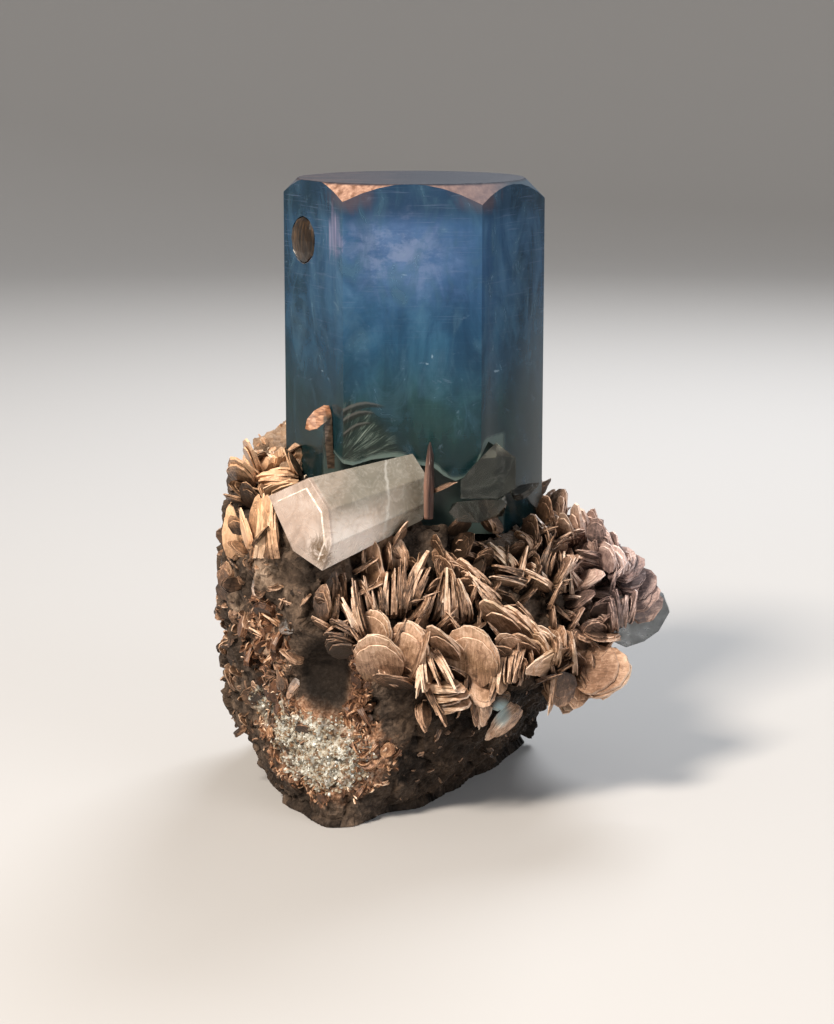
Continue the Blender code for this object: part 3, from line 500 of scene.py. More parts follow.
# A fan: first and last root, first and last tip (x, z on the sheet), number of books, width,
# thickness, how far the tips stand off the rock, and turn: 0 shows the books' edges, 90 a face.
FRONT_FANS = (
    ((-26.5, 47), (-23.5, 49), (-25.6, 61), (-20.5, 64.5), 3, 7.5, 2.2, 6, 25),
    alone((-23.6, 46), (-21.7, 55), 7, 1.6, 8, 10),
    ((-16, 42), (-13.5, 42), (-21.8, 55.5), (-18.6, 61.8), 3, 9, 1.9, 9, 12),
    ((-12.6, 48), (-10.8, 48), (-16.8, 63), (-13.4, 58), 3, 8, 1.4, 8, 15),
    alone((-12.5, 50), (-11.4, 71), 8, 2.4, 7, 50),
    alone((-7, 58), (-6.6, 72.8), 10.5, 2.2, 2, 78),
    ((-16.6, 42), (-17.6, 37), (-27.6, 47), (-27.4, 40.6), 3, 10, 2.2, 8, 18),
    alone((-12.4, 40), (-10, 49.6), 10, 2.2, 9, 62),
    # centre fan
    ((-9.4, 49), (-3.6, 46), (-10.2, 58.5), (-2.6, 69.4), 5, 10, 2.2, 8, 6),
    ((-4.2, 47), (-1.6, 51), (0.4, 68.2), (4.8, 67.2), 3, 10, 2.5, 8, 10),
    # middle fan
    ((0.8, 49), (3.6, 46.6), (4.6, 54), (8.2, 61), 3, 9, 2.2, 8, 14),
    ((8.4, 44), (15, 46.6), (8.4, 63), (11.8, 60.6), 4, 9, 2.0, 9, 8),
    ((19, 54), (24.6, 48.6), (11.8, 65.4), (15.6, 58), 4, 10, 2.3, 8, 20),
    # left rosette
    alone((-8.5, 28.5), (-12.6, 43.4), 14, 2.8, 11, 72),
    alone((-3.6, 31), (-1.2, 47), 15, 3.4, 11, 68),
    alone((-2.2, 28.4), (4.4, 45.4), 9, 2.2, 15, 25),
    alone((11.4, 35), (4.6, 45), 9, 2.2, 15, 40),
    alone((16.4, 27.4), (15.4, 46.6), 15, 3.4, 11, 72),
    ((2, 37.6), (4.4, 38.4), (0.4, 21.4), (14, 26.4), 4, 9, 2.2, 14, 14),
    alone((2.4, 30), (9.8, 14.6), 8, 1.9, 14, 12),
    alone((-2, 26.6), (-12.4, 31.2), 11, 2.2, 12, 24),
    ((4.6, 28.4), (6.4, 23), (16, 26.8), (17.2, 21.4), 3, 10, 2.2, 11, 18),
    alone((2, 22.6), (3.6, 12), 5, 2.6, 11, 30),
    # lower middle
    ((18, 27), (20, 26), (17.6, 12), (19.4, 13), 3, 7, 1.5, 11, 14),
    ((24.6, 37), (31.4, 39), (22.4, 21.4), (28.4, 27), 4, 10, 2.5, 11, 20),
    alone((30, 21.4), (19.4, 9), 8, 3.4, 12, 24),
    alone((20, 30), (19, 20), 9, 2.0, 8, 70),
    # right rosette
    alone((46, 31), (62.8, 32.4), 18, 3.4, 11, 64),
    alone((43.6, 33), (54.4, 35), 11, 2.4, 15, 68),
    ((30, 41), (40, 37), (20.4, 52), (45.6, 44.5), 6, 11, 2.3, 8, 58),
    ((31, 36), (38, 35), (21.6, 45), (40, 42.6), 4, 9, 2.3, 12, 48),
    alone((45.4, 37), (30, 31), 11, 2.0, 14, 32),
    alone((40.4, 25), (29.2, 30.6), 10, 2.2, 15, 24),
    alone((41, 32), (38.4, 16.6), 8, 2.2, 15, 12),
    alone((45.4, 31), (45, 42), 7, 1.5, 15, 8),
    ((42, 32), (46, 31), (41, 18.4), (46.4, 17), 3, 11, 2.2, 10, 48),
    ((50, 32), (52, 32), (50.6, 22), (54.6, 22.6), 2, 12, 2.4, 10, 56),
    # upper field
    ((8, 60), (15, 59), (6, 68.6), (17, 69.8), 3, 9, 2.2, 3, 30),
    ((24.4, 63), (27, 62), (17, 70.4), (22, 70), 3, 9, 2.2, 6, 20),
    ((30.6, 59), (30.6, 56), (19.6, 63.4), (20.6, 59), 3, 9, 1.8, 7, 28),
    alone((28.4, 54.6), (31.8, 69.2), 7, 2.0, 9, 10),
    ((36.6, 56), (34, 58), (31, 62), (34, 66), 3, 9, 1.6, 6, 30),
    ((33, 66), (37, 66), (26.6, 75), (30.6, 80), 3, 9, 2.2, 3, 24),
    ((35.4, 69), (38.4, 68), (34.6, 76), (39.4, 78.6), 3, 8, 1.9, 6, 16),
    ((36.6, 55.4), (41.4, 54.6), (39.4, 76), (41.6, 69), 3, 9, 2.3, 9, 10),
    ((47.4, 54), (44.6, 56), (41.2, 65), (43.6, 61), 3, 9, 1.6, 9, 16),
    alone((56.4, 60.4), (42.2, 65.4), 9, 2.4, 9, 26),
    ((45.6, 57), (45.6, 54), (54.6, 60.4), (53, 57), 3, 8, 1.5, 9, 22),
    ((46, 65), (50, 64), (43.4, 74), (48.8, 74.6), 3, 8, 2.0, 7, 18),
    # right shoulder
    ((46.6, 71), (52, 69), (46.6, 81), (52.6, 78.6), 3, 8, 2.2, 3, 58),
    ((50, 67), (56, 64), (51.6, 78), (57.2, 71.4), 3, 9, 2.2, 4, 50),
    ((53.6, 62), (59, 59), (55.4, 71), (61.4, 67.6), 3, 9, 2.2, 6, 55),
    ((55, 61), (59, 54), (64.5, 67.5), (72.2, 57.0), 5, 12, 1.8, 4, 58),
    ((57, 59), (60, 50), (67, 64), (72, 53.4), 3, 11, 1.6, 1, 66),
    ((47, 62), (52, 60), (48, 72), (58, 70), 4, 9, 1.8, 7, 40),
    ((47, 57), (54, 55), (45, 67), (55, 65), 4, 12, 2.2, 1, 62),
    ((41, 68), (46, 68), (38, 79), (45, 81.5), 3, 8, 1.8, 5, 35),
    ((56, 44), (60, 46), (54.4, 57), (62, 55), 4, 9, 2.2, 10, 20),
    ((55.4, 42.6), (52, 43), (49, 51.4), (46.6, 46), 3, 9, 1.6, 9, 45),
    ((48, 44), (54, 42), (50, 39.6), (56, 41), 3, 8, 1.6, 8, 30),
)
FAN_THIN = 1.2                    # thickness of the books in a fan of several, for the listed one
FAN_LOOSE = 0.3                   # a book is at most this share of a step out of line
FAN_SPIN = 22.0                   # and turned this much more or less than its fan
FACE_TURN = 40                    # turned more than this, a book shows its pale face
DISC_TURN = 60                    # and a single one more than this is a broad disc
FILL_STEP = 5.4                   # small books between the fans, one to each square of a grid
FILL_BOOK = (8.0, 7.0, 1.3)       # length, width, thickness
FILL_LIFT = (3.0, 6.0)
FILL_LEAN = 75.0                  # their tips point up, give or take this many degrees
FILL_OUTLINE = ((-25, 40), (-25, 50), (-21, 61), (-7, 68), (8, 71), (18, 73), (30, 77), (44, 76),
                (53, 68), (57, 54), (55, 42), (53, 30), (44, 24), (32, 24), (20, 20), (4, 22), (-9, 30))
RIGHT_BEARINGS = (-42, 29)        # small books cover the right side too, by compass bearing
RIGHT_HEIGHTS = (32, 76)
RIGHT_BOOKS = 130
RIGHT_FANS = ((-32, 64), (-24, 46), (-16, 70), (-10, 56), (-4, 40), (3, 68), (8, 52), (15, 74), (19, 40),
              (22, 60))
SIDE_BOOK = (12.5, 10.0, 1.5)     # length, width, thickness of the books in a side fan
SIDE_BOOKS = 7

packed_rock = nodes['matrix_rock'].data
rock_tree = BVHTree.FromPolygons([vert.co for vert in packed_rock.vertices],
                                 [polygon.vertices for polygon in packed_rock.polygons])


def sight(x, z, y):
    """Point at depth y that shows at (x, z) on the front sheet."""
    return EYE + (Vector((x, 0, z)) - EYE) * ((y - EYE.y) / -EYE.y)


def on_rock(x, z):
    """Where the line of sight through (x, z) meets or passes the rock, and that line."""
    aim = (Vector((x, 0, z)) - EYE).normalized()
    hit = rock_tree.ray_cast(EYE * MM, aim)[0]
    if hit is None:
        beside = rock_tree.find_nearest(sight(x, z, SIDE_DEPTH) * MM)[0]
        return sight(x, z, beside.y / MM), aim
    return hit / MM, aim


def set_in(root, tip, turn):
    """Matrix that lays a unit book from root towards tip, its edge to the front at turn 0."""
    along = (tip - root).normalized()
    side = along.cross((root - EYE).normalized()).normalized()
    normal = Matrix.Rotation(math.radians(turn), 3, along) @ side
    matrix = Matrix((normal.cross(along), along, normal)).transposed().to_4x4()
    matrix.translation = root
    return matrix


def placed(master, root, tip, turn, width, thickness, tone):
    """Place of one book, from its root to its tip."""
    return master, set_in(root, tip, turn), (width, (tip - root).length, thickness), tone


def between(start, end, share):
    return [a + (b - a) * share for a, b in zip(start, end)]


def fan_places(fans, seed, painted_light=0.0):
    """Places of the books of every fan. The last argument is added to their tones, as painted light."""
    jitter = random.Random(seed)
    draw = jitter.uniform
    places = []
    for first, last, tip_first, tip_last, count, width, thickness, lift, turn in fans:
        single = count == 1
        shade = draw(0.25, 0.75)
        for book in range(count):
            share = 0.5 if single else (book + draw(-FAN_LOOSE, FAN_LOOSE)) / (count - 1)
            root_spot = between(first, last, share)
            root, aim = on_rock(*root_spot)
            tip_spot = between(tip_first, tip_last, share)
            if not single:
                tip_spot = between(tip_spot, root_spot, draw(-0.06, 0.22))
            tip, tip_aim = on_rock(*tip_spot)
            level = min(max(tip.y, root.y - TIP_REACH[0]), root.y + TIP_REACH[1])
            off = lift if single else lift + draw(-1.5, 1.5)
            tip = sight(*tip_spot, level) - tip_aim * off
            root = root + aim * ROOT_DEPTH
            broad = single and turn > DISC_TURN
            master = DISC if broad else jitter.choice(BOOKS)
            wide = width * draw(0.85, 1.15)
            thick = thickness * (1 if single else FAN_THIN) * draw(0.6, 1.2)
            spin = turn if single else turn + draw(-FAN_SPIN, FAN_SPIN)
            darkest = 0.4 if turn > FACE_TURN else 0.0
            tone = 0.85 if broad else min(1.0, max(darkest, shade + draw(-0.45, 0.45)))
            places.append(placed(master, root, tip, spin, wide, thick, tone + painted_light))
    return places


def inside(x, z, outline):
    """True if (x, z) is within the closed outline."""
    found = False
    for (x1, z1), (x2, z2) in zip(outline, outline[1:] + outline[:1]):
        if (z1 > z) != (z2 > z) and x < x1 + (z - z1) / (z2 - z1) * (x2 - x1):
            found = not found
    return found


def fill_places(outline, seed):
    """Places of small single books scattered over an outline of the front sheet."""
    jitter = random.Random(seed)
    draw = jitter.uniform
    length, width, thickness = FILL_BOOK
    low = [min(spot[axis] for spot in outline) for axis in (0, 1)]
    high = [max(spot[axis] for spot in outline) for axis in (0, 1)]
    places = []
    for column in range(int((high[0] - low[0]) / FILL_STEP) + 1):
        for row in range(int((high[1] - low[1]) / FILL_STEP) + 1):
            x = low[0] + (column + draw(0, 1)) * FILL_STEP
            z = low[1] + (row + draw(0, 1)) * FILL_STEP
            lean = math.radians(draw(-FILL_LEAN, FILL_LEAN))
            lift, turn = draw(*FILL_LIFT), draw(-60, 60)
            size = draw(0.75, 1.15)
            master, tone = jitter.choice(BOOKS), draw(0.0, 0.6)
            if inside(x, z, outline):
                root, aim = on_rock(x, z)
                tip = root + Vector((math.sin(lean), 0, math.cos(lean))) * length * size - aim * lift
                root = root + aim * ROOT_DEPTH
                places.append(placed(master, root, tip, turn, width * size, thickness, tone))
    return places


def side_root(bearing, height):
    """Point on the rock's side at a compass bearing and height, and the surface's direction."""
    turn = math.radians(bearing)
    outward = Vector((math.cos(turn), math.sin(turn), 0))
    hit, normal, _, _ = rock_tree.ray_cast((outward * 200 + Vector((0, 0, height))) * MM, -outward)
    return (None, None) if hit is None else (hit / MM, normal)


def side_fan_places(fans, seed):
    """Places of the books of short fans standing on the sides or the back."""
    jitter = random.Random(seed)
    draw = jitter.uniform
    length, width, thickness = SIDE_BOOK
    places = []
    for bearing, height in fans:
        root, normal = side_root(bearing, height)
        if root is None:
            continue
        spread = normal.cross(Vector((0, 0, 1))).normalized()
        lean, shade, turn = draw(-0.4, 0.4), draw(0.2, 0.8), draw(-50, 50)
        rise = draw(0.1, 0.6)
        for book in range(SIDE_BOOKS):
            fan = (book / (SIDE_BOOKS - 1) - 0.5) * 1.1 + lean
            aim = (normal + spread * fan + Vector((0, 0, rise + draw(-0.1, 0.1)))).normalized()
            start = root - normal * ROOT_DEPTH + spread * fan * 3
            tip = start + aim * length * draw(0.75, 1.05)
            wide = width * draw(0.8, 1.0)
            tone = min(1.0, max(0.0, shade + draw(-0.25, 0.25)))
            spin = turn + draw(-10, 10)
            places.append(placed(jitter.choice(BOOKS), start, tip, spin, wide, thickness, tone))
    return places


def side_fill_places(bearings, heights, count, seed):
    """Places of small books scattered over the sides, leaning off the rock at all angles."""
    jitter = random.Random(seed)
    draw = jitter.uniform
    length, width, thickness = FILL_BOOK
    places = []
    for _ in range(count):
        root, normal = side_root(draw(*bearings), draw(*heights))
        loose = Vector([draw(-1, 1) for _ in range(3)])
        size, turn = draw(0.6, 1.1), draw(-90, 90)
        master, tone = jitter.choice(BOOKS), draw(0.1, 0.8)
        if root is not None:
            aim = (normal * 0.75 + loose).normalized()
            start = root - normal * ROOT_DEPTH
            scale = (width * size, length * size, thickness)
            places.append((master, set_in(start, start + aim, turn), scale, tone))
    return places


front_crust = grown('front_crust', fan_places(FRONT_FANS, 11) + fill_places(FILL_OUTLINE, 12)
                    + side_fan_places(RIGHT_FANS, 13)
                    + side_fill_places(RIGHT_BEARINGS, RIGHT_HEIGHTS, RIGHT_BOOKS, 14), 1)
dress(front_crust, 'front_mica_crust', 'mica', tan_mica)


# ---- Left mica crust ---------------------------------------------------------------------
# Thick leaning books and curved slabs of the same mica on the rock's upper left shoulder, with
# an upright sheaf below them beside the pale crystal.
LEFT_FANS = (
    ((-47, 86), (-44.6, 90), (-52.4, 94.6), (-47.8, 98.2), 3, 9, 3.3, 8, 16),
    ((-33, 87.4), (-33, 84), (-47.6, 88), (-46, 84.6), 3, 10, 2.8, 10, 34),
    ((-41, 90), (-34, 92), (-43, 95), (-35, 98.6), 3, 9, 2.6, 7, 50),
    ((-47, 64), (-39.4, 64), (-44.4, 85), (-41.6, 87), 4, 8, 2.0, 9, 12),
    alone((-46.4, 67), (-49.8, 80), 7, 1.8, 10, 14),
    alone((-51, 64), (-53, 83), 7, 2.4, 7, 40),
    alone((-53, 56), (-54.4, 64.6), 6, 3.0, 7, 40),
)
LEFT_OUTLINE = ((-52, 66), (-53, 90), (-45, 95), (-31, 96), (-31, 88), (-38, 84), (-40, 66))
# Painted light: the left books' tones raised.
LEFT_PAINTED_LIGHT = 0.45
left_crust = grown('left_crust', fan_places(LEFT_FANS, 21, LEFT_PAINTED_LIGHT) + fill_places(LEFT_OUTLINE, 22), 2)
dress(left_crust, 'left_mica_crust', 'mica', tan_mica)


# ---- Back mica crust ---------------------------------------------------------------------
# Small fans and loose books of the same mica over the upper back of the rock. They stand out
# from its surface at a compass bearing and a height.
BACK_FANS = ((34, 64), (42, 77), (50, 62), (58, 79), (66, 68), (75, 81), (83, 64), (91, 77), (100, 66),
             (108, 82), (116, 70), (124, 86), (131, 72))
BACK_BEARINGS = (30, 134)
BACK_HEIGHTS = (56, 90)
BACK_BOOKS = 260
back_crust = grown('back_crust', side_fan_places(BACK_FANS, 31)
                   + side_fill_places(BACK_BEARINGS, BACK_HEIGHTS, BACK_BOOKS, 32), 3)
dress(back_crust, 'back_mica_crust', 'mica', tan_mica)


# ---- Loose scales and albite grains ------------------------------------------------------
# Thin mica scales lie all over the broken stone, thickest on its left flank, down the rusty ridge
# and round the white patch, which is itself a crust of small, sugary albite grains.
#
# Each group: its master, its ground, the nearest and farthest share of the ground's reach, how many,
# least and greatest length, thickness as a share of the length, least and greatest tone, how
# upright they stand, and the share of the length that is sunk in the stone.
ALL_ROUND = (0.0, 0.0, 50.0), (70.0, 70.0, 60.0)    # the whole rock
CROWN = (-37.0, -8.0, 98.0), (9.0, 26.0, 9.0)       # its top on the left, where the palest scales are painted glints
TAN_SCALES = (
    (BOOKS[1], FLANK, 0.0, 1.1, 96, (4.0, 9.0), 0.20, (0.0, 0.6), 1.2, 0.70),
    (SCALE, FLANK, 0.0, 1.1, 120, (1.5, 5.0), 0.14, (0.0, 0.7), 0.3, 0.50),
    (BOOKS[0], ALL_ROUND, 0.0, 1.3, 130, (5.0, 9.0), 0.24, (0.0, 0.35), 1.6, 0.76),
    (SCALE, ALL_ROUND, 0.0, 1.3, 420, (1.2, 3.8), 0.16, (0.0, 0.35), 0.3, 0.45),
)
RUSTY_SCALES = (
    # Extra-pale scales on the crown's top: painted glints.
    (SCALE, CROWN, 0.0, 1.2, 70, (2.0, 5.0), 0.15, (0.8, 1.3), 0.5, 0.40),
    (BOOKS[1], LEDGE, 0.0, 1.1, 40, (4.0, 9.0), 0.20, (0.1, 0.8), 1.0, 0.64),
    (SCALE, LEDGE, 0.0, 1.1, 110, (1.5, 4.6), 0.15, (0.0, 0.75), 0.3, 0.48),
    (BOOKS[1], RIDGE, 0.0, 1.05, 44, (4.0, 8.0), 0.24, (0.0, 0.5), 1.4, 0.68),
    (SCALE, RIDGE, 0.0, 1.1, 150, (1.8, 4.6), 0.15, (0.0, 0.5), 0.3, 0.45),
    (BOOKS[0], ALBITE, 0.9, 1.25, 60, (4.0, 7.5), 0.24, (0.2, 1.0), 1.4, 0.70),
    (SCALE, ALBITE, 0.85, 1.3, 200, (1.2, 3.6), 0.16, (0.2, 1.0), 0.3, 0.45),
)
ALBITE_GRAINS = (
    (SCALE, ALBITE, 0.0, 0.98, 1100, (0.8, 2.1), 0.5, (0.0, 1.0), 0.3, 0.5),
    (SCALE, LOBE, 0.0, 0.95, 220, (0.8, 2.0), 0.5, (0.0, 1.0), 0.3, 0.5),
)

stone_points = [(vert.co / MM, normal) for vert, normal in zip(rock.data.vertices, outwards)
                if within(vert.co / MM, *HOLLOW) > 0.95]


def scattered(name, groups, seed):
    """Scales stuck to the stone at all angles, in groups."""
    jitter = random.Random(seed)
    draw = jitter.uniform
    places = []
    for master, ground, near, far, count, sizes, thick, tones, stand, sunk in groups:
        spots = [spot for spot in stone_points if near <= within(spot[0], *ground) <= far]
        for _ in range(count):
            root, normal = jitter.choice(spots)
            loose = Vector([draw(-1, 1) for _ in range(3)])
            aim = (normal * stand * draw(0.3, 1.2) + loose).normalized()
            size, turn = draw(*sizes), draw(0, 180)
            tone, wide = draw(*tones), draw(0.35, 0.9)
            start = root - aim * size * sunk
            if root.z > size * (1 - sunk) + 1:
                scale = (size * wide, size, size * thick)
                places.append((master, set_in(start, start + aim, turn), scale, tone))
    return grown(name, places, seed)


tan_scales = scattered('tan_scales', TAN_SCALES, 51)
dress(tan_scales, 'matrix_rock', 'mica', tan_mica)
rusty_mica, shader, _ = new_material('rusty_mica')
lights = leaf_light(shader)
leaf = ramp_of(lights['Light'], ((0.08, 0.042, 0.019, 0.010), (0.38, 0.20, 0.090, 0.044),
                                 (0.60, 0.60, 0.34, 0.190), (0.84, 0.93, 0.76, 0.58)))
pearly(shader, leaf, lights['Height'], 0.45)
rusty_scales = scattered('rusty_scales', RUSTY_SCALES, 52)
dress(rusty_scales, 'matrix_rock', 'mica', rusty_mica)
albite_sugar, shader, _ = new_material('albite_sugar')
lights = leaf_light(shader)
grain = ramp_of(lights['Light'], ((0.10, 0.20, 0.105, 0.050), (0.28, 0.32, 0.25, 0.165),
                                  (0.50, 0.45, 0.44, 0.375), (0.80, 0.90, 0.91, 0.86)))
give_look(shader, {'Base Color': grain, 'Roughness': span(lights['Height'], 0.3, 0.7, 0.5, 0.25)})
albite_grains = scattered('albite_grains', ALBITE_GRAINS, 53)
dress(albite_grains, 'matrix_rock', 'rock', albite_sugar)


# ---- Single blades and flakes ------------------------------------------------------------
# Lone books of mica round the blue crystal's foot: one standing, plum-brown blade, one pale
# leaning blade over the dark cavity, one dark blade on the right, an orange flake on a dark stalk
# and a grey, clear flake at the right edge.
#
# A blade: root and tip (x, z on the front sheet, depth), width, thickness, turn and tone.
LEANING = ((5.2, 84.2, -42.5), (12.6, 87.4, -45.0), 4.2, 1.1, 6.0, 0.3)
DARK = ((27.6, 82.2, -30.5), (35.6, 87.6, -27.5), 7.0, 1.8, 25.0, 0.0)


def single_blade(name, root, tip, width, thickness, turn, tone, seed):
    """One book of mica between two points."""
    return grown(name, [placed(BOOKS[2], sight(*root), sight(*tip), turn, width, thickness, tone)], seed)


leaning_blade = single_blade('leaning_blade', *LEANING, 40)
dress(leaning_blade, 'leaning_mica_blade', 'mica', tan_mica)

dark_mica, shader, _ = new_material('dark_mica')
lights = leaf_light(shader)
leaf = ramp_of(lights['Light'], ((0.1, 0.018, 0.016, 0.013), (0.6, 0.075, 0.068, 0.055),
                                 (0.9, 0.20, 0.18, 0.15)))
pearly(shader, leaf, lights['Height'], 0.4)
dark_blade = single_blade('dark_blade', *DARK, 41)
dress(dark_blade, 'dark_mica_blade', 'dark_mica', dark_mica)


def round_off(piece, width, segments, sharp):
    """Round every edge that turns by more than an angle in degrees."""
    finish_with(piece, 'BEVEL', width=width * MM, segments=segments, limit_method='ANGLE',
                angle_limit=math.radians(sharp))


plum_mica, shader, place = new_material('plum_mica')
streaks = grain_of(place, 620, 4, 0.6, (1, 1, 0.12))
leaf = ramp_of(streaks, ((0.36, 0.030, 0.016, 0.013), (0.54, 0.095, 0.052, 0.042),
                         (0.72, 0.24, 0.140, 0.110)))
x, _, _ = axes_of(place)
leaf = mix_of(span(x, 3.6, 2.6, 0.0, 0.6), leaf, (0.42, 0.235, 0.175, 1))
pearly(shader, leaf, streaks, 0.4)
standing = copy_of('standing_mica_blade', 'standing_blade')
round_off(standing, width=0.5, segments=3, sharp=12)
dress(standing, 'standing_mica_blade', 'plum_mica', plum_mica)

orange_mica, shader, place = new_material('orange_mica')
streaks = grain_of(place, 420, 4, 0.6, (1, 1, 3))
leaf = ramp_of(streaks, ((0.35, 0.13, 0.052, 0.026), (0.5, 0.34, 0.155, 0.080), (0.68, 0.66, 0.37, 0.22)))
x, _, z = axes_of(place)
stalk = most(times(span(x, -25.0, -24.2), span(z, 111, 109)), span(z, 107, 104))
bark = ramp_of(streaks, ((0.4, 0.020, 0.018, 0.013), (0.65, 0.085, 0.070, 0.052)))
leaf = mix_of(times(stalk, 0.9), leaf, bark)
pearly(shader, leaf, streaks, 0.4)
cap_flake = copy_of('cap_mica_flake', 'cap_flake')
round_off(cap_flake, width=0.45, segments=2, sharp=25)
dress(cap_flake, 'cap_mica_flake', 'orange_mica', orange_mica)

grey_mica, shader, place = new_material('grey_mica')
veins = grain_of(place, 260, 4, 0.6)
leaf = ramp_of(veins, ((0.35, 0.18, 0.195, 0.20), (0.6, 0.36, 0.385, 0.40), (0.75, 0.64, 0.66, 0.68)))
pearly(shader, leaf, veins, 0.3)
give_look(shader, {'Transmission Weight': 0.45})
edge_flake = copy_of('right_edge_flake', 'edge_flake')
round_off(edge_flake, width=0.3, segments=2, sharp=30)
dress(edge_flake, 'right_edge_flake', 'grey_mica', grey_mica)


# ---- Aquamarine --------------------------------------------------------------------------
# One stout prism of blue beryl with glassy sides, a frosted bevel and a silky flat top. It is
# clear but full of fine veils, milky towards the top and sea-green at the foot, and its lower
# front edge is broken in scallops. Painted shade darkens its sides and the face under that edge,
# painted glints fleck its face, and the bevel's warm tint is painted warm light.
PRISM_TOP = 172.0
BERYL_IOR = 1.57                  # how strongly beryl bends light

aquamarine = copy_of('aquamarine_crystal', 'aquamarine')
round_off(aquamarine, width=0.35, segments=2, sharp=22)

# The broken edge's line, (x, z) from left to right, and what is caught near the front face.
BROKEN_EDGE = ((-23.2, 103.5), (-22.4, 100.2), (-19.5, 97.6), (-16.6, 97.0), (-11.6, 98.6), (-5.4, 99.4),
               (0.9, 97.2), (5.0, 96.6), (7.9, 94.2), (11.0, 92.8), (14.8, 94.6), (17.6, 99.4), (19.8, 103.0))
EDGE_LOW, EDGE_TALL = 88.0, 17.0  # heights that the curve node's 0 and 1 stand for
EDGE_LEFT, EDGE_WIDE = -40.0, 71.0
FAN_ROOT = (-21.8, 96.6)          # a feathery fan of mica caught behind the face, root (x, z)
FAN_REACH = 19.5
# Blades caught over the fan: left, right, height at each, how far they bow up, half their width.
CAUGHT_BLADES = ((-21.6, -7.2, 110.0, 112.8, 1.9, 0.85), (-20.8, -10.0, 107.6, 111.0, 1.6, 0.75),
                 (-19.8, -11.2, 104.6, 108.4, 1.2, 0.6))
# Painted glints on the face: the middle and reach of each fleck.
PAINTED_GLINT_SPOTS = (((22.1, -24.0, 121.6), (1.9, 3.0, 0.6)), ((3.3, -31.2, 124.6), (1.5, 3.0, 0.9)),
          ((4.6, -31.2, 126.8), (0.5, 3.0, 1.2)), ((-24.9, -20.0, 121.1), (1.0, 3.0, 0.5)),
          ((29.3, -14.0, 151.4), (0.9, 2.0, 0.4)), ((-2.8, -31.2, 148.2), (2.4, 3.0, 0.5)))

blue_beryl, shader, place = new_material('blue_beryl')
across, inward, upward = axes_of(place)
milk = grain_of(place, 30, 5, 0.55, (1, 1, 0.8), 0.8)
threads = grain_of(place, 100, 6, 0.62, (1, 1, 0.55), 1.6)
lines = grain_of(place, 60, 4, 0.65, (1.1, 1.1, 34.0))
combed = grain_of(place, 420, 3, 0.6, (1, 1, 0.03))
ragged = times(minus(threads, 0.5), 1.6)
depth_of_colour = plus(times(span(upward, 88, 158), 0.62), times(milk, 0.5))
body = ramp_of(depth_of_colour, ((0.20, 0.010, 0.032, 0.029), (0.42, 0.014, 0.062, 0.078),
                                 (0.66, 0.024, 0.112, 0.225), (0.88, 0.050, 0.155, 0.320)))
clouds = grain_of(place, 62, 7, 0.66, (1, 1, 0.6), 1.1)
drapes = grain_of(place, 95, 4, 0.6, (1, 1, 0.06), 0.6)
texture = plus(times(clouds, 0.65), times(drapes, 0.35))
texture = ramp_of(texture, ((0.34, 0.42, 0.50, 0.56), (0.50, 0.92, 0.92, 0.90), (0.66, 2.2, 1.7, 1.4)))
body = mix_of(1.0, body, texture, 'MULTIPLY')
glow = reach_mask(place, (-1, -31, 156), (17, 30, 14), ragged, 0.3, 1.4)
wisps = grain_of(place, 85, 7, 0.72, (0.8, 0.8, 1.7), 0.25)
core = reach_mask(place, (-5, -31, 155), (15, 30, 12), ragged, 0.0, 1.3)
panes = grain_of(place, 150, 7, 0.70, (0.8, 0.8, 1.3), 0.1)
murk = reach_mask(place, (-29, -12, 92), (10, 18, 16), ragged, 0.5, 1.2)
# Painted shade: the prism's sides darkened, most at the foot.
sides = most(span(across, 17, 33), span(across, -19, -34))
foot_shade = times(sides, span(upward, 122, 92))
haze = times(span(threads, 0.46, 0.74), span(upward, 96, 140, 0.25, 0.55))
scuffs = grain_of(place, 160, 5, 0.7, (0.7, 0.7, 1.5), 1.2)
ruled = times(span(lines, 0.56, 0.70), span(upward, 126, 150, 0.05, 0.32))
body = coated(body, (times(glow, 0.50), (0.105, 0.215, 0.480)),
              (times(glow, span(wisps, 0.40, 0.72, 0.0, 0.55)), (0.190, 0.330, 0.590)),
              (times(core, span(panes, 0.42, 0.58, 0.05, 0.75)), (0.275, 0.375, 0.590)),
              (span(upward, 160, 166, 0.0, 0.65), (0.014, 0.040, 0.075)),
              (times(murk, 0.6), (0.055, 0.070, 0.045)),
              (times(sides, span(clouds, 0.62, 0.38, 0.30, 0.75)), (0.008, 0.040, 0.058)),
              (times(foot_shade, 0.65), (0.006, 0.030, 0.032)),
              (haze, (0.095, 0.215, 0.310)),
              (span(scuffs, 0.60, 0.74, 0.0, 0.30), (0.30, 0.46, 0.60)),
              (ruled, (0.24, 0.33, 0.50)))
body = mix_of(1.0, body, (0.74, 0.72, 0.74, 1), 'MULTIPLY')
for corner in (-18.2, 18.2):
    burnt = reach_mask(place, (corner, -31.2, 168.5), (9.0, 12.0, 5.0), ragged, 0.3, 1.1)
    body = coated(body, (times(burnt, 0.45), (0.17, 0.10, 0.085)))
patch = reach_mask(place, (-21.3, -27.8, 158), (2.8, 5.0, 7.5), times(ragged, 2.0), 0.5, 1.3)
body = coated(body, (times(patch, span(combed, 0.42, 0.58, 0.25, 0.85)), (0.42, 0.37, 0.54)))

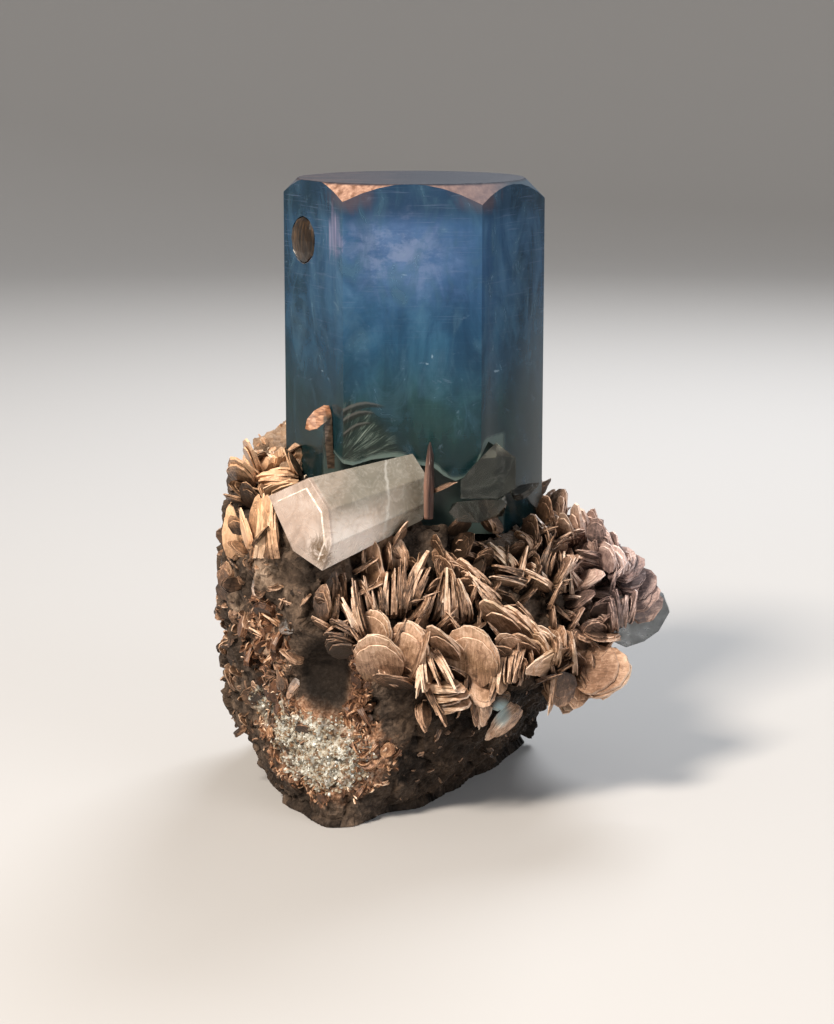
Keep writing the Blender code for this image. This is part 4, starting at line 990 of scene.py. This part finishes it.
# Mica caught behind the face, drawn by its angle and distance from the fan's root.
on_front = span(inward, -30.4, -30.9)
aside = minus(across, FAN_ROOT[0])
above = minus(upward, FAN_ROOT[1])
bearing = math_of('ARCTAN2', above, aside)
away = math_of('SQRT', plus(times(aside, aside), times(above, above)))
polar = add_node('CombineXYZ', {0: times(bearing, 3.0), 1: times(away, 26.0 * MM), 2: 0.0})
plumes = add_node('TexNoise', {'Vector': polar, 'Scale': 5.0, 'Detail': 6.0, 'Roughness': 0.7,
                               'Distortion': 0.5})
loose_away = plus(away, times(ragged, 3.0))
fan = times(span(loose_away, FAN_REACH - 4, FAN_REACH, 1.0, 0.0),
            times(span(bearing, 0.10, 0.30), span(bearing, 1.30, 1.52, 1.0, 0.0)))
fan = times(fan, on_front)
feather = ramp_of(plumes, ((0.40, 0.005, 0.012, 0.010), (0.54, 0.024, 0.042, 0.034),
                           (0.70, 0.24, 0.29, 0.25)))
body = mix_of(times(fan, 0.9), body, feather)
for blade_left, blade_right, left_height, right_height, bowed, half in CAUGHT_BLADES:
    share = add_node('MapRange', {0: across, 1: blade_left, 2: blade_right})
    bow = times(math_of('SINE', times(share, math.pi)), bowed)
    spine = plus(times(share, right_height - left_height), left_height)
    off_spine = minus(upward, plus(spine, bow))
    off_spine = plus(off_spine, times(ragged, 0.5))
    taper = span(share, 0.35, 1.0, half, 0.15)
    blade = span(minus(math_of('ABSOLUTE', off_spine), taper), 0.0, 0.35, 1.0, 0.0)
    blade = times(blade, times(span(share, 0.01, 0.12), span(share, 0.80, 0.99, 1.0, 0.0)))
    # Each blade lightens towards its upper edge: a painted highlight.
    leaf = ramp_of(span(off_spine, -half, half), ((0.3, 0.012, 0.013, 0.010),
                                                  (0.6, 0.032, 0.031, 0.026),
                                                  (0.85, 0.12, 0.115, 0.105)))
    body = mix_of(times(times(blade, on_front), 0.7), body, leaf)

# Painted glints: pale blue flecks where fractures catch the light.
painted_glints = 0.0
shards = times(minus(grain_of(place, 500, 3, 0.6), 0.5), 2.0)
for spot, reach in PAINTED_GLINT_SPOTS:
    painted_glints = most(painted_glints, reach_mask(place, spot, reach, shards, 0.2, 0.6))
body = coated(body, (times(painted_glints, 0.5), (0.40, 0.56, 0.68)))

edge = shader.id_data.nodes.new('ShaderNodeFloatCurve')
curve = edge.mapping.curves[0]
line = [((x - EDGE_LEFT) / EDGE_WIDE, (z - EDGE_LOW) / EDGE_TALL) for x, z in BROKEN_EDGE]
curve.points[0].location, curve.points[1].location = (0.0, line[0][1]), (1.0, line[-1][1])
for spot in line:
    curve.points.new(*spot)
for point in curve.points:
    point.handle_type = 'AUTO_CLAMPED'
edge.mapping.update()
join(times(minus(across, EDGE_LEFT), 1 / EDGE_WIDE), edge.inputs['Value'])
rim_height = plus(times(edge.outputs[0], EDGE_TALL), EDGE_LOW)
over_rim = plus(minus(upward, rim_height), times(ragged, 0.6))
in_front = span(inward, -19.0, -22.0)
rime = times(span(over_rim, 0.3, 1.9, 0.62, 0.0), in_front)
# Painted shade: the face under the broken edge darkened.
shade_below_edge = times(span(over_rim, -0.2, -1.8), in_front)
body = coated(body, (times(shade_below_edge, 0.85), (0.014, 0.013, 0.010)), (rime, (0.22, 0.30, 0.27)))
dull = most(span(threads, 0.35, 0.75, 0.14, 0.30), times(rime, 0.8))
give_look(shader, {'Base Color': body, 'Roughness': dull, 'IOR': BERYL_IOR, 'Specular IOR Level': 0.05,
                   'Transmission Weight': 0.3})
roughen(shader, plus(times(lines, 0.5), times(combed, 0.5)), strength=0.10, depth=0.2)

frosted_beryl, shader, place = new_material('frosted_beryl')
pits = grain_of(place, 520, 4, 0.65)
combed = grain_of(place, 190, 6, 0.7, (0.5, 3.5, 1.0), 0.6)
x, _, z = axes_of(place)
# The frost's pinkish tan tint is painted warm light; it greys to the right, partly its own grey and partly
# painted shade, and turns clear blue at both sides.
frost = ramp_of(pits, ((0.36, 0.20, 0.105, 0.070), (0.52, 0.40, 0.235, 0.170), (0.72, 0.66, 0.43, 0.32)))
clearer = most(span(x, 19, 27), span(x, -24, -32))
frost = coated(frost, (span(x, -14, 18, 0.0, 0.8), (0.130, 0.115, 0.135)),
               (times(clearer, 0.85), (0.035, 0.075, 0.11)))
flat_top = span(z, 171.2, 171.9)
silk = ramp_of(combed, ((0.35, 0.015, 0.021, 0.034), (0.6, 0.028, 0.032, 0.047),
                        (0.75, 0.070, 0.066, 0.078)))
# Painted warm light: the left of the silk top warmed.
warm_light_on_top = times(span(x, 4, -24), span(combed, 0.44, 0.66, 0.05, 0.35))
silk = mix_of(warm_light_on_top, silk, (0.22, 0.135, 0.105, 1))
give_look(shader, {'Base Color': mix_of(flat_top, frost, silk),
                   'Roughness': span(flat_top, 0.0, 1.0, 0.80, 0.60), 'Specular IOR Level': 0.12})
roughen(shader, plus(pits, combed), strength=0.6, depth=0.3)
dress(aquamarine, 'aquamarine_crystal', 'aquamarine', blue_beryl, frosted_beryl)
for polygon in aquamarine.data.polygons:
    if polygon.center.z > 0.8 * PRISM_TOP * MM and polygon.normal.z > 0.25:
        polygon.material_index = 1


# ---- Mica lens in the aquamarine ---------------------------------------------------------
# A brown book of mica caught in the crystal's upper left face, open to the air. Its leaves
# stand on edge, dark towards the crystal, with one bright glint.
brown_mica, shader, place = new_material('brown_mica')
streaks = grain_of(place, 420, 4, 0.65, (3, 3, 0.35))
leaf = ramp_of(streaks, ((0.40, 0.012, 0.008, 0.005), (0.56, 0.060, 0.034, 0.016),
                         (0.74, 0.22, 0.125, 0.055)))
x, _, _ = axes_of(place)
leaf = mix_of(span(x, -32.5, -30.0, 0.0, 0.75), leaf, (0.20, 0.17, 0.14, 1), 'MULTIPLY')
glint = reach_mask(place, (-32.9, -6.0, 151.6), (1.1, 1.8, 1.5), times(streaks, 0.6), 0.8, 1.3)
leaf = mix_of(glint, leaf, (0.85, 0.80, 0.72, 1))
pearly(shader, leaf, streaks, 0.4)
lens = copy_of('mica_inclusion', 'mica_lens')
finish_with(lens, 'SUBSURF', levels=1, render_levels=1, subdivision_type='SIMPLE')
dress(lens, 'mica_inclusion', 'brown_mica', brown_mica)


# ---- Pale crystal ------------------------------------------------------------------------
# A stubby, milky beryl prism lying across the front of the blue one, with a painted white glow
# low on its front, stained brown low on its left end.
END_FACING = Vector((-0.66, -0.75, -0.05))  # its free left end looks this way
GROWTH_INSET = 1.9                # how far in from the end's edge its bright growth line runs
GROWTH_LINE = 0.3                 # the line's width and the step after it
GROWTH_STEP = 0.3
FRACTURE = -7.8                   # a wavy healed crack crosses the crystal here
END_OUT = 56.5                    # how far its end lies out, the way it looks
EDGE_HEIGHT = 94.7                # edge over the front face: its height at X = 0
EDGE_RISE = 0.165                 # and its rise along X

pale_beryl, shader, place = new_material('pale_beryl')
milk = grain_of(place, 80, 5, 0.6, (1, 1, 1), 0.8)
flaws = grain_of(place, 240, 5, 0.65, (1, 1, 1), 1.5)
cream = ramp_of(milk, ((0.36, 0.46, 0.35, 0.275), (0.5, 0.78, 0.62, 0.51), (0.62, 0.94, 0.81, 0.71)))
x, _, z = axes_of(place)
ragged = minus(flaws, 0.5)
over_edge = minus(z, times(x, EDGE_RISE))
out = add_node('VectorMath', {0: place, 1: END_FACING / MM}, operation='DOT_PRODUCT')
out = out.node.outputs['Value']
upper = times(span(over_edge, EDGE_HEIGHT - 0.5, EDGE_HEIGHT + 0.8),
              span(out, END_OUT - 0.5, END_OUT - 1.5, 0.0, 0.55))
greyer = most(span(x, -17, -2, 0.0, 0.85), upper)
greyer = most(greyer, times(span(over_edge, 85, 96), span(x, -28, -14, 0.0, 0.85)))
# Painted light: the lower front lightened to near white, as a glow inside.
painted_glow = reach_mask(place, (-18, -56, 79), (11, 18, 9), ragged, 0.4, 1.3)
stain = reach_mask(place, (-24.5, -60, 79.5), (4.2, 7, 6.0), times(ragged, 2.8), 0.5, 1.1)
veins = math_of('ABSOLUTE', minus(flaws, 0.5))
sway = times(minus(grain_of(place, 60, 4, 0.6), 0.5), 9)
crack = math_of('ABSOLUTE', plus(minus(x, FRACTURE), sway))
cream = coated(cream, (greyer, (0.230, 0.225, 0.180)),
               (times(painted_glow, span(milk, 0.36, 0.50, 0.7, 1.0)), (1.0, 0.91, 0.83)),
               (times(stain, span(flaws, 0.40, 0.52)), (0.20, 0.125, 0.060)),
               (times(span(veins, 0.0, 0.02, 1.0, 0.0), 0.35), (0.90, 0.85, 0.78)),
               (span(crack, 0.05, 0.5, 0.5, 0.0), (0.80, 0.78, 0.72)))
at_end = span(out, END_OUT - 1.0, END_OUT - 0.4)
cream = mix_of(at_end, cream, (0.82, 0.79, 0.79, 1), 'MULTIPLY')
give_look(shader, {'Base Color': cream, 'Roughness': span(flaws, 0.4, 0.7, 0.2, 0.4), 'IOR': BERYL_IOR,
                   'Transmission Weight': 0.2, 'Coat Weight': 0.2, 'Coat Roughness': 0.12})

bright_edge, shader, place = new_material('bright_edge')
glints = grain_of(place, 700, 3, 0.6)
white = ramp_of(glints, ((0.42, 0.70, 0.56, 0.45), (0.58, 1.0, 0.93, 0.86)))
give_look(shader, {'Base Color': white, 'Roughness': span(glints, 0.4, 0.6, 0.5, 0.3)})

pale = copy_of('pale_crystal', 'pale_prism')
dress(pale, 'pale_crystal', 'pale_beryl', pale_beryl, bright_edge)
round_off(pale, width=0.8, segments=3, sharp=22)

# The end is the largest face that looks its way.
open_piece(pale)
bpy.ops.mesh.select_all(action='DESELECT')
bpy.context.scene.tool_settings.mesh_select_mode = (False, False, True)
close_piece()
ends = [polygon for polygon in pale.data.polygons if polygon.normal.dot(END_FACING) > 0.95]
max(ends, key=lambda polygon: polygon.area).select = True
bpy.ops.object.mode_set(mode='EDIT')
bpy.ops.mesh.inset(thickness=GROWTH_INSET * MM)
bpy.context.object.active_material_index = 1
bpy.ops.object.material_slot_assign()
bpy.ops.mesh.inset(thickness=GROWTH_LINE * MM, depth=GROWTH_STEP * MM)
bpy.context.object.active_material_index = 0
bpy.ops.object.material_slot_assign()
close_piece()
bpy.context.scene.tool_settings.mesh_select_mode = (True, False, False)


# ---- Clear and smoky crystals ------------------------------------------------------------
# A clear, grey-green wedge and a rounder smoky crystal under it, grown at the foot of the blue
# prism between the standing blade and the mica.
for name, node_name, tints, slot in (
        ('clear_wedge', 'clear_crystal', ((0.085, 0.092, 0.076), (0.24, 0.25, 0.215)), 'clear_beryl'),
        ('smoky_lump', 'smoky_crystal', ((0.075, 0.070, 0.054), (0.21, 0.20, 0.155)), 'smoky_quartz')):
    glassy, shader, place = new_material(slot)
    veils = grain_of(place, 90, 4, 0.55, (1, 1, 1), 0.8)
    glass = ramp_of(veils, ((0.38, *tints[0]), (0.62, *tints[1])))
    veins = math_of('ABSOLUTE', minus(veils, 0.5))
    glass = mix_of(times(span(veins, 0.0, 0.015, 1.0, 0.0), 0.4), glass, (0.60, 0.61, 0.56, 1))
    give_look(shader, {'Base Color': glass, 'Roughness': span(veils, 0.35, 0.7, 0.08, 0.2), 'IOR': 1.55,
                       'Specular IOR Level': 0.3, 'Transmission Weight': 0.92, 'Coat Weight': 0.1})
    piece = copy_of(node_name, name)
    round_off(piece, width=0.35, segments=2, sharp=15)
    dress(piece, node_name, slot, glassy)

for master in (*BOOKS, DISC, SCALE):
    bpy.data.objects.remove(master)


# ---- Studio ------------------------------------------------------------------------------
# A pale floor that curls up far behind and all round the specimen, soft lamps, and the camera
# on the display side.
FLOOR_FLAT = 1500.0               # the floor is level out to here and then curls up
FLOOR_REACH = 2600.0
FLOOR_RINGS = 16
ROOM_COLOUR = (0.80, 0.82, 0.85, 1)
ROOM_LIGHT = 0.30
LENS = 84.375                     # focal length and width of the frame, in millimetres
SENSOR = 36.0
CAMERA_TILT = 78.7                # degrees up from straight down

floor_paint, shader, _ = new_material('studio_floor')
give_look(shader, {'Base Color': (0.52, 0.51, 0.50, 1), 'Roughness': 0.95})
bpy.ops.object.select_all(action='DESELECT')
bpy.ops.mesh.primitive_circle_add(vertices=96, radius=FLOOR_FLAT * MM, fill_type='NGON',
                                  location=(0, 0, -0.05 * MM))
floor = bpy.context.object
floor.name = 'floor'
open_piece(floor)
bpy.context.scene.tool_settings.mesh_select_mode = (False, True, False)
bpy.ops.mesh.region_to_loop()
curl = FLOOR_REACH - FLOOR_FLAT
for ring in range(FLOOR_RINGS):
    turn, next_turn = (math.pi / 2 * (ring + step) / FLOOR_RINGS for step in (0, 1))
    rise = curl * (math.cos(turn) - math.cos(next_turn))
    wider = (FLOOR_FLAT + curl * math.sin(next_turn)) / (FLOOR_FLAT + curl * math.sin(turn))
    bpy.ops.mesh.extrude_edges_move(TRANSFORM_OT_translate={'value': (0, 0, rise * MM)})
    bpy.ops.transform.resize(value=(wider, wider, 1))
close_piece()
bpy.context.scene.tool_settings.mesh_select_mode = (True, False, False)
floor.data.shade_smooth()
floor.data.materials.append(floor_paint)

world = bpy.data.worlds.new('studio')
world.use_nodes = True
give_look(world.node_tree.nodes['Background'], {'Color': ROOM_COLOUR, 'Strength': ROOM_LIGHT})
bpy.context.scene.world = world


def soft_lamp(name, place, aim, size, power, colour):
    """Square area lamp at a place in millimetres, turned to a point."""
    lamp = bpy.data.lights.new(name, 'AREA')
    lamp.size = size * MM
    lamp.energy = power
    lamp.color = colour
    obj = bpy.data.objects.new(name, lamp)
    obj.location = Vector(place) * MM
    obj.rotation_euler = (Vector(place) - Vector(aim)).to_track_quat('Z', 'Y').to_euler()
    bpy.context.scene.collection.objects.link(obj)


soft_lamp('key', (-560, -900, 1080), (0, -20, 60), 300, 30.0, (1.0, 0.89, 0.77))
soft_lamp('fill', (900, -850, 500), (0, 0, 80), 700, 5.0, (0.90, 0.94, 1.0))
soft_lamp('back', (300, 800, 950), (0, 0, 110), 500, 12.0, (0.93, 0.96, 1.0))
bpy.context.scene.view_settings.view_transform = 'Standard'

lens_camera = bpy.data.cameras.new('camera')
lens_camera.lens = LENS
lens_camera.sensor_width = SENSOR
camera = bpy.data.objects.new('camera', lens_camera)
camera.location = EYE * MM
camera.rotation_euler = (math.radians(CAMERA_TILT), 0, 0)
bpy.context.scene.collection.objects.link(camera)
bpy.context.scene.camera = camera
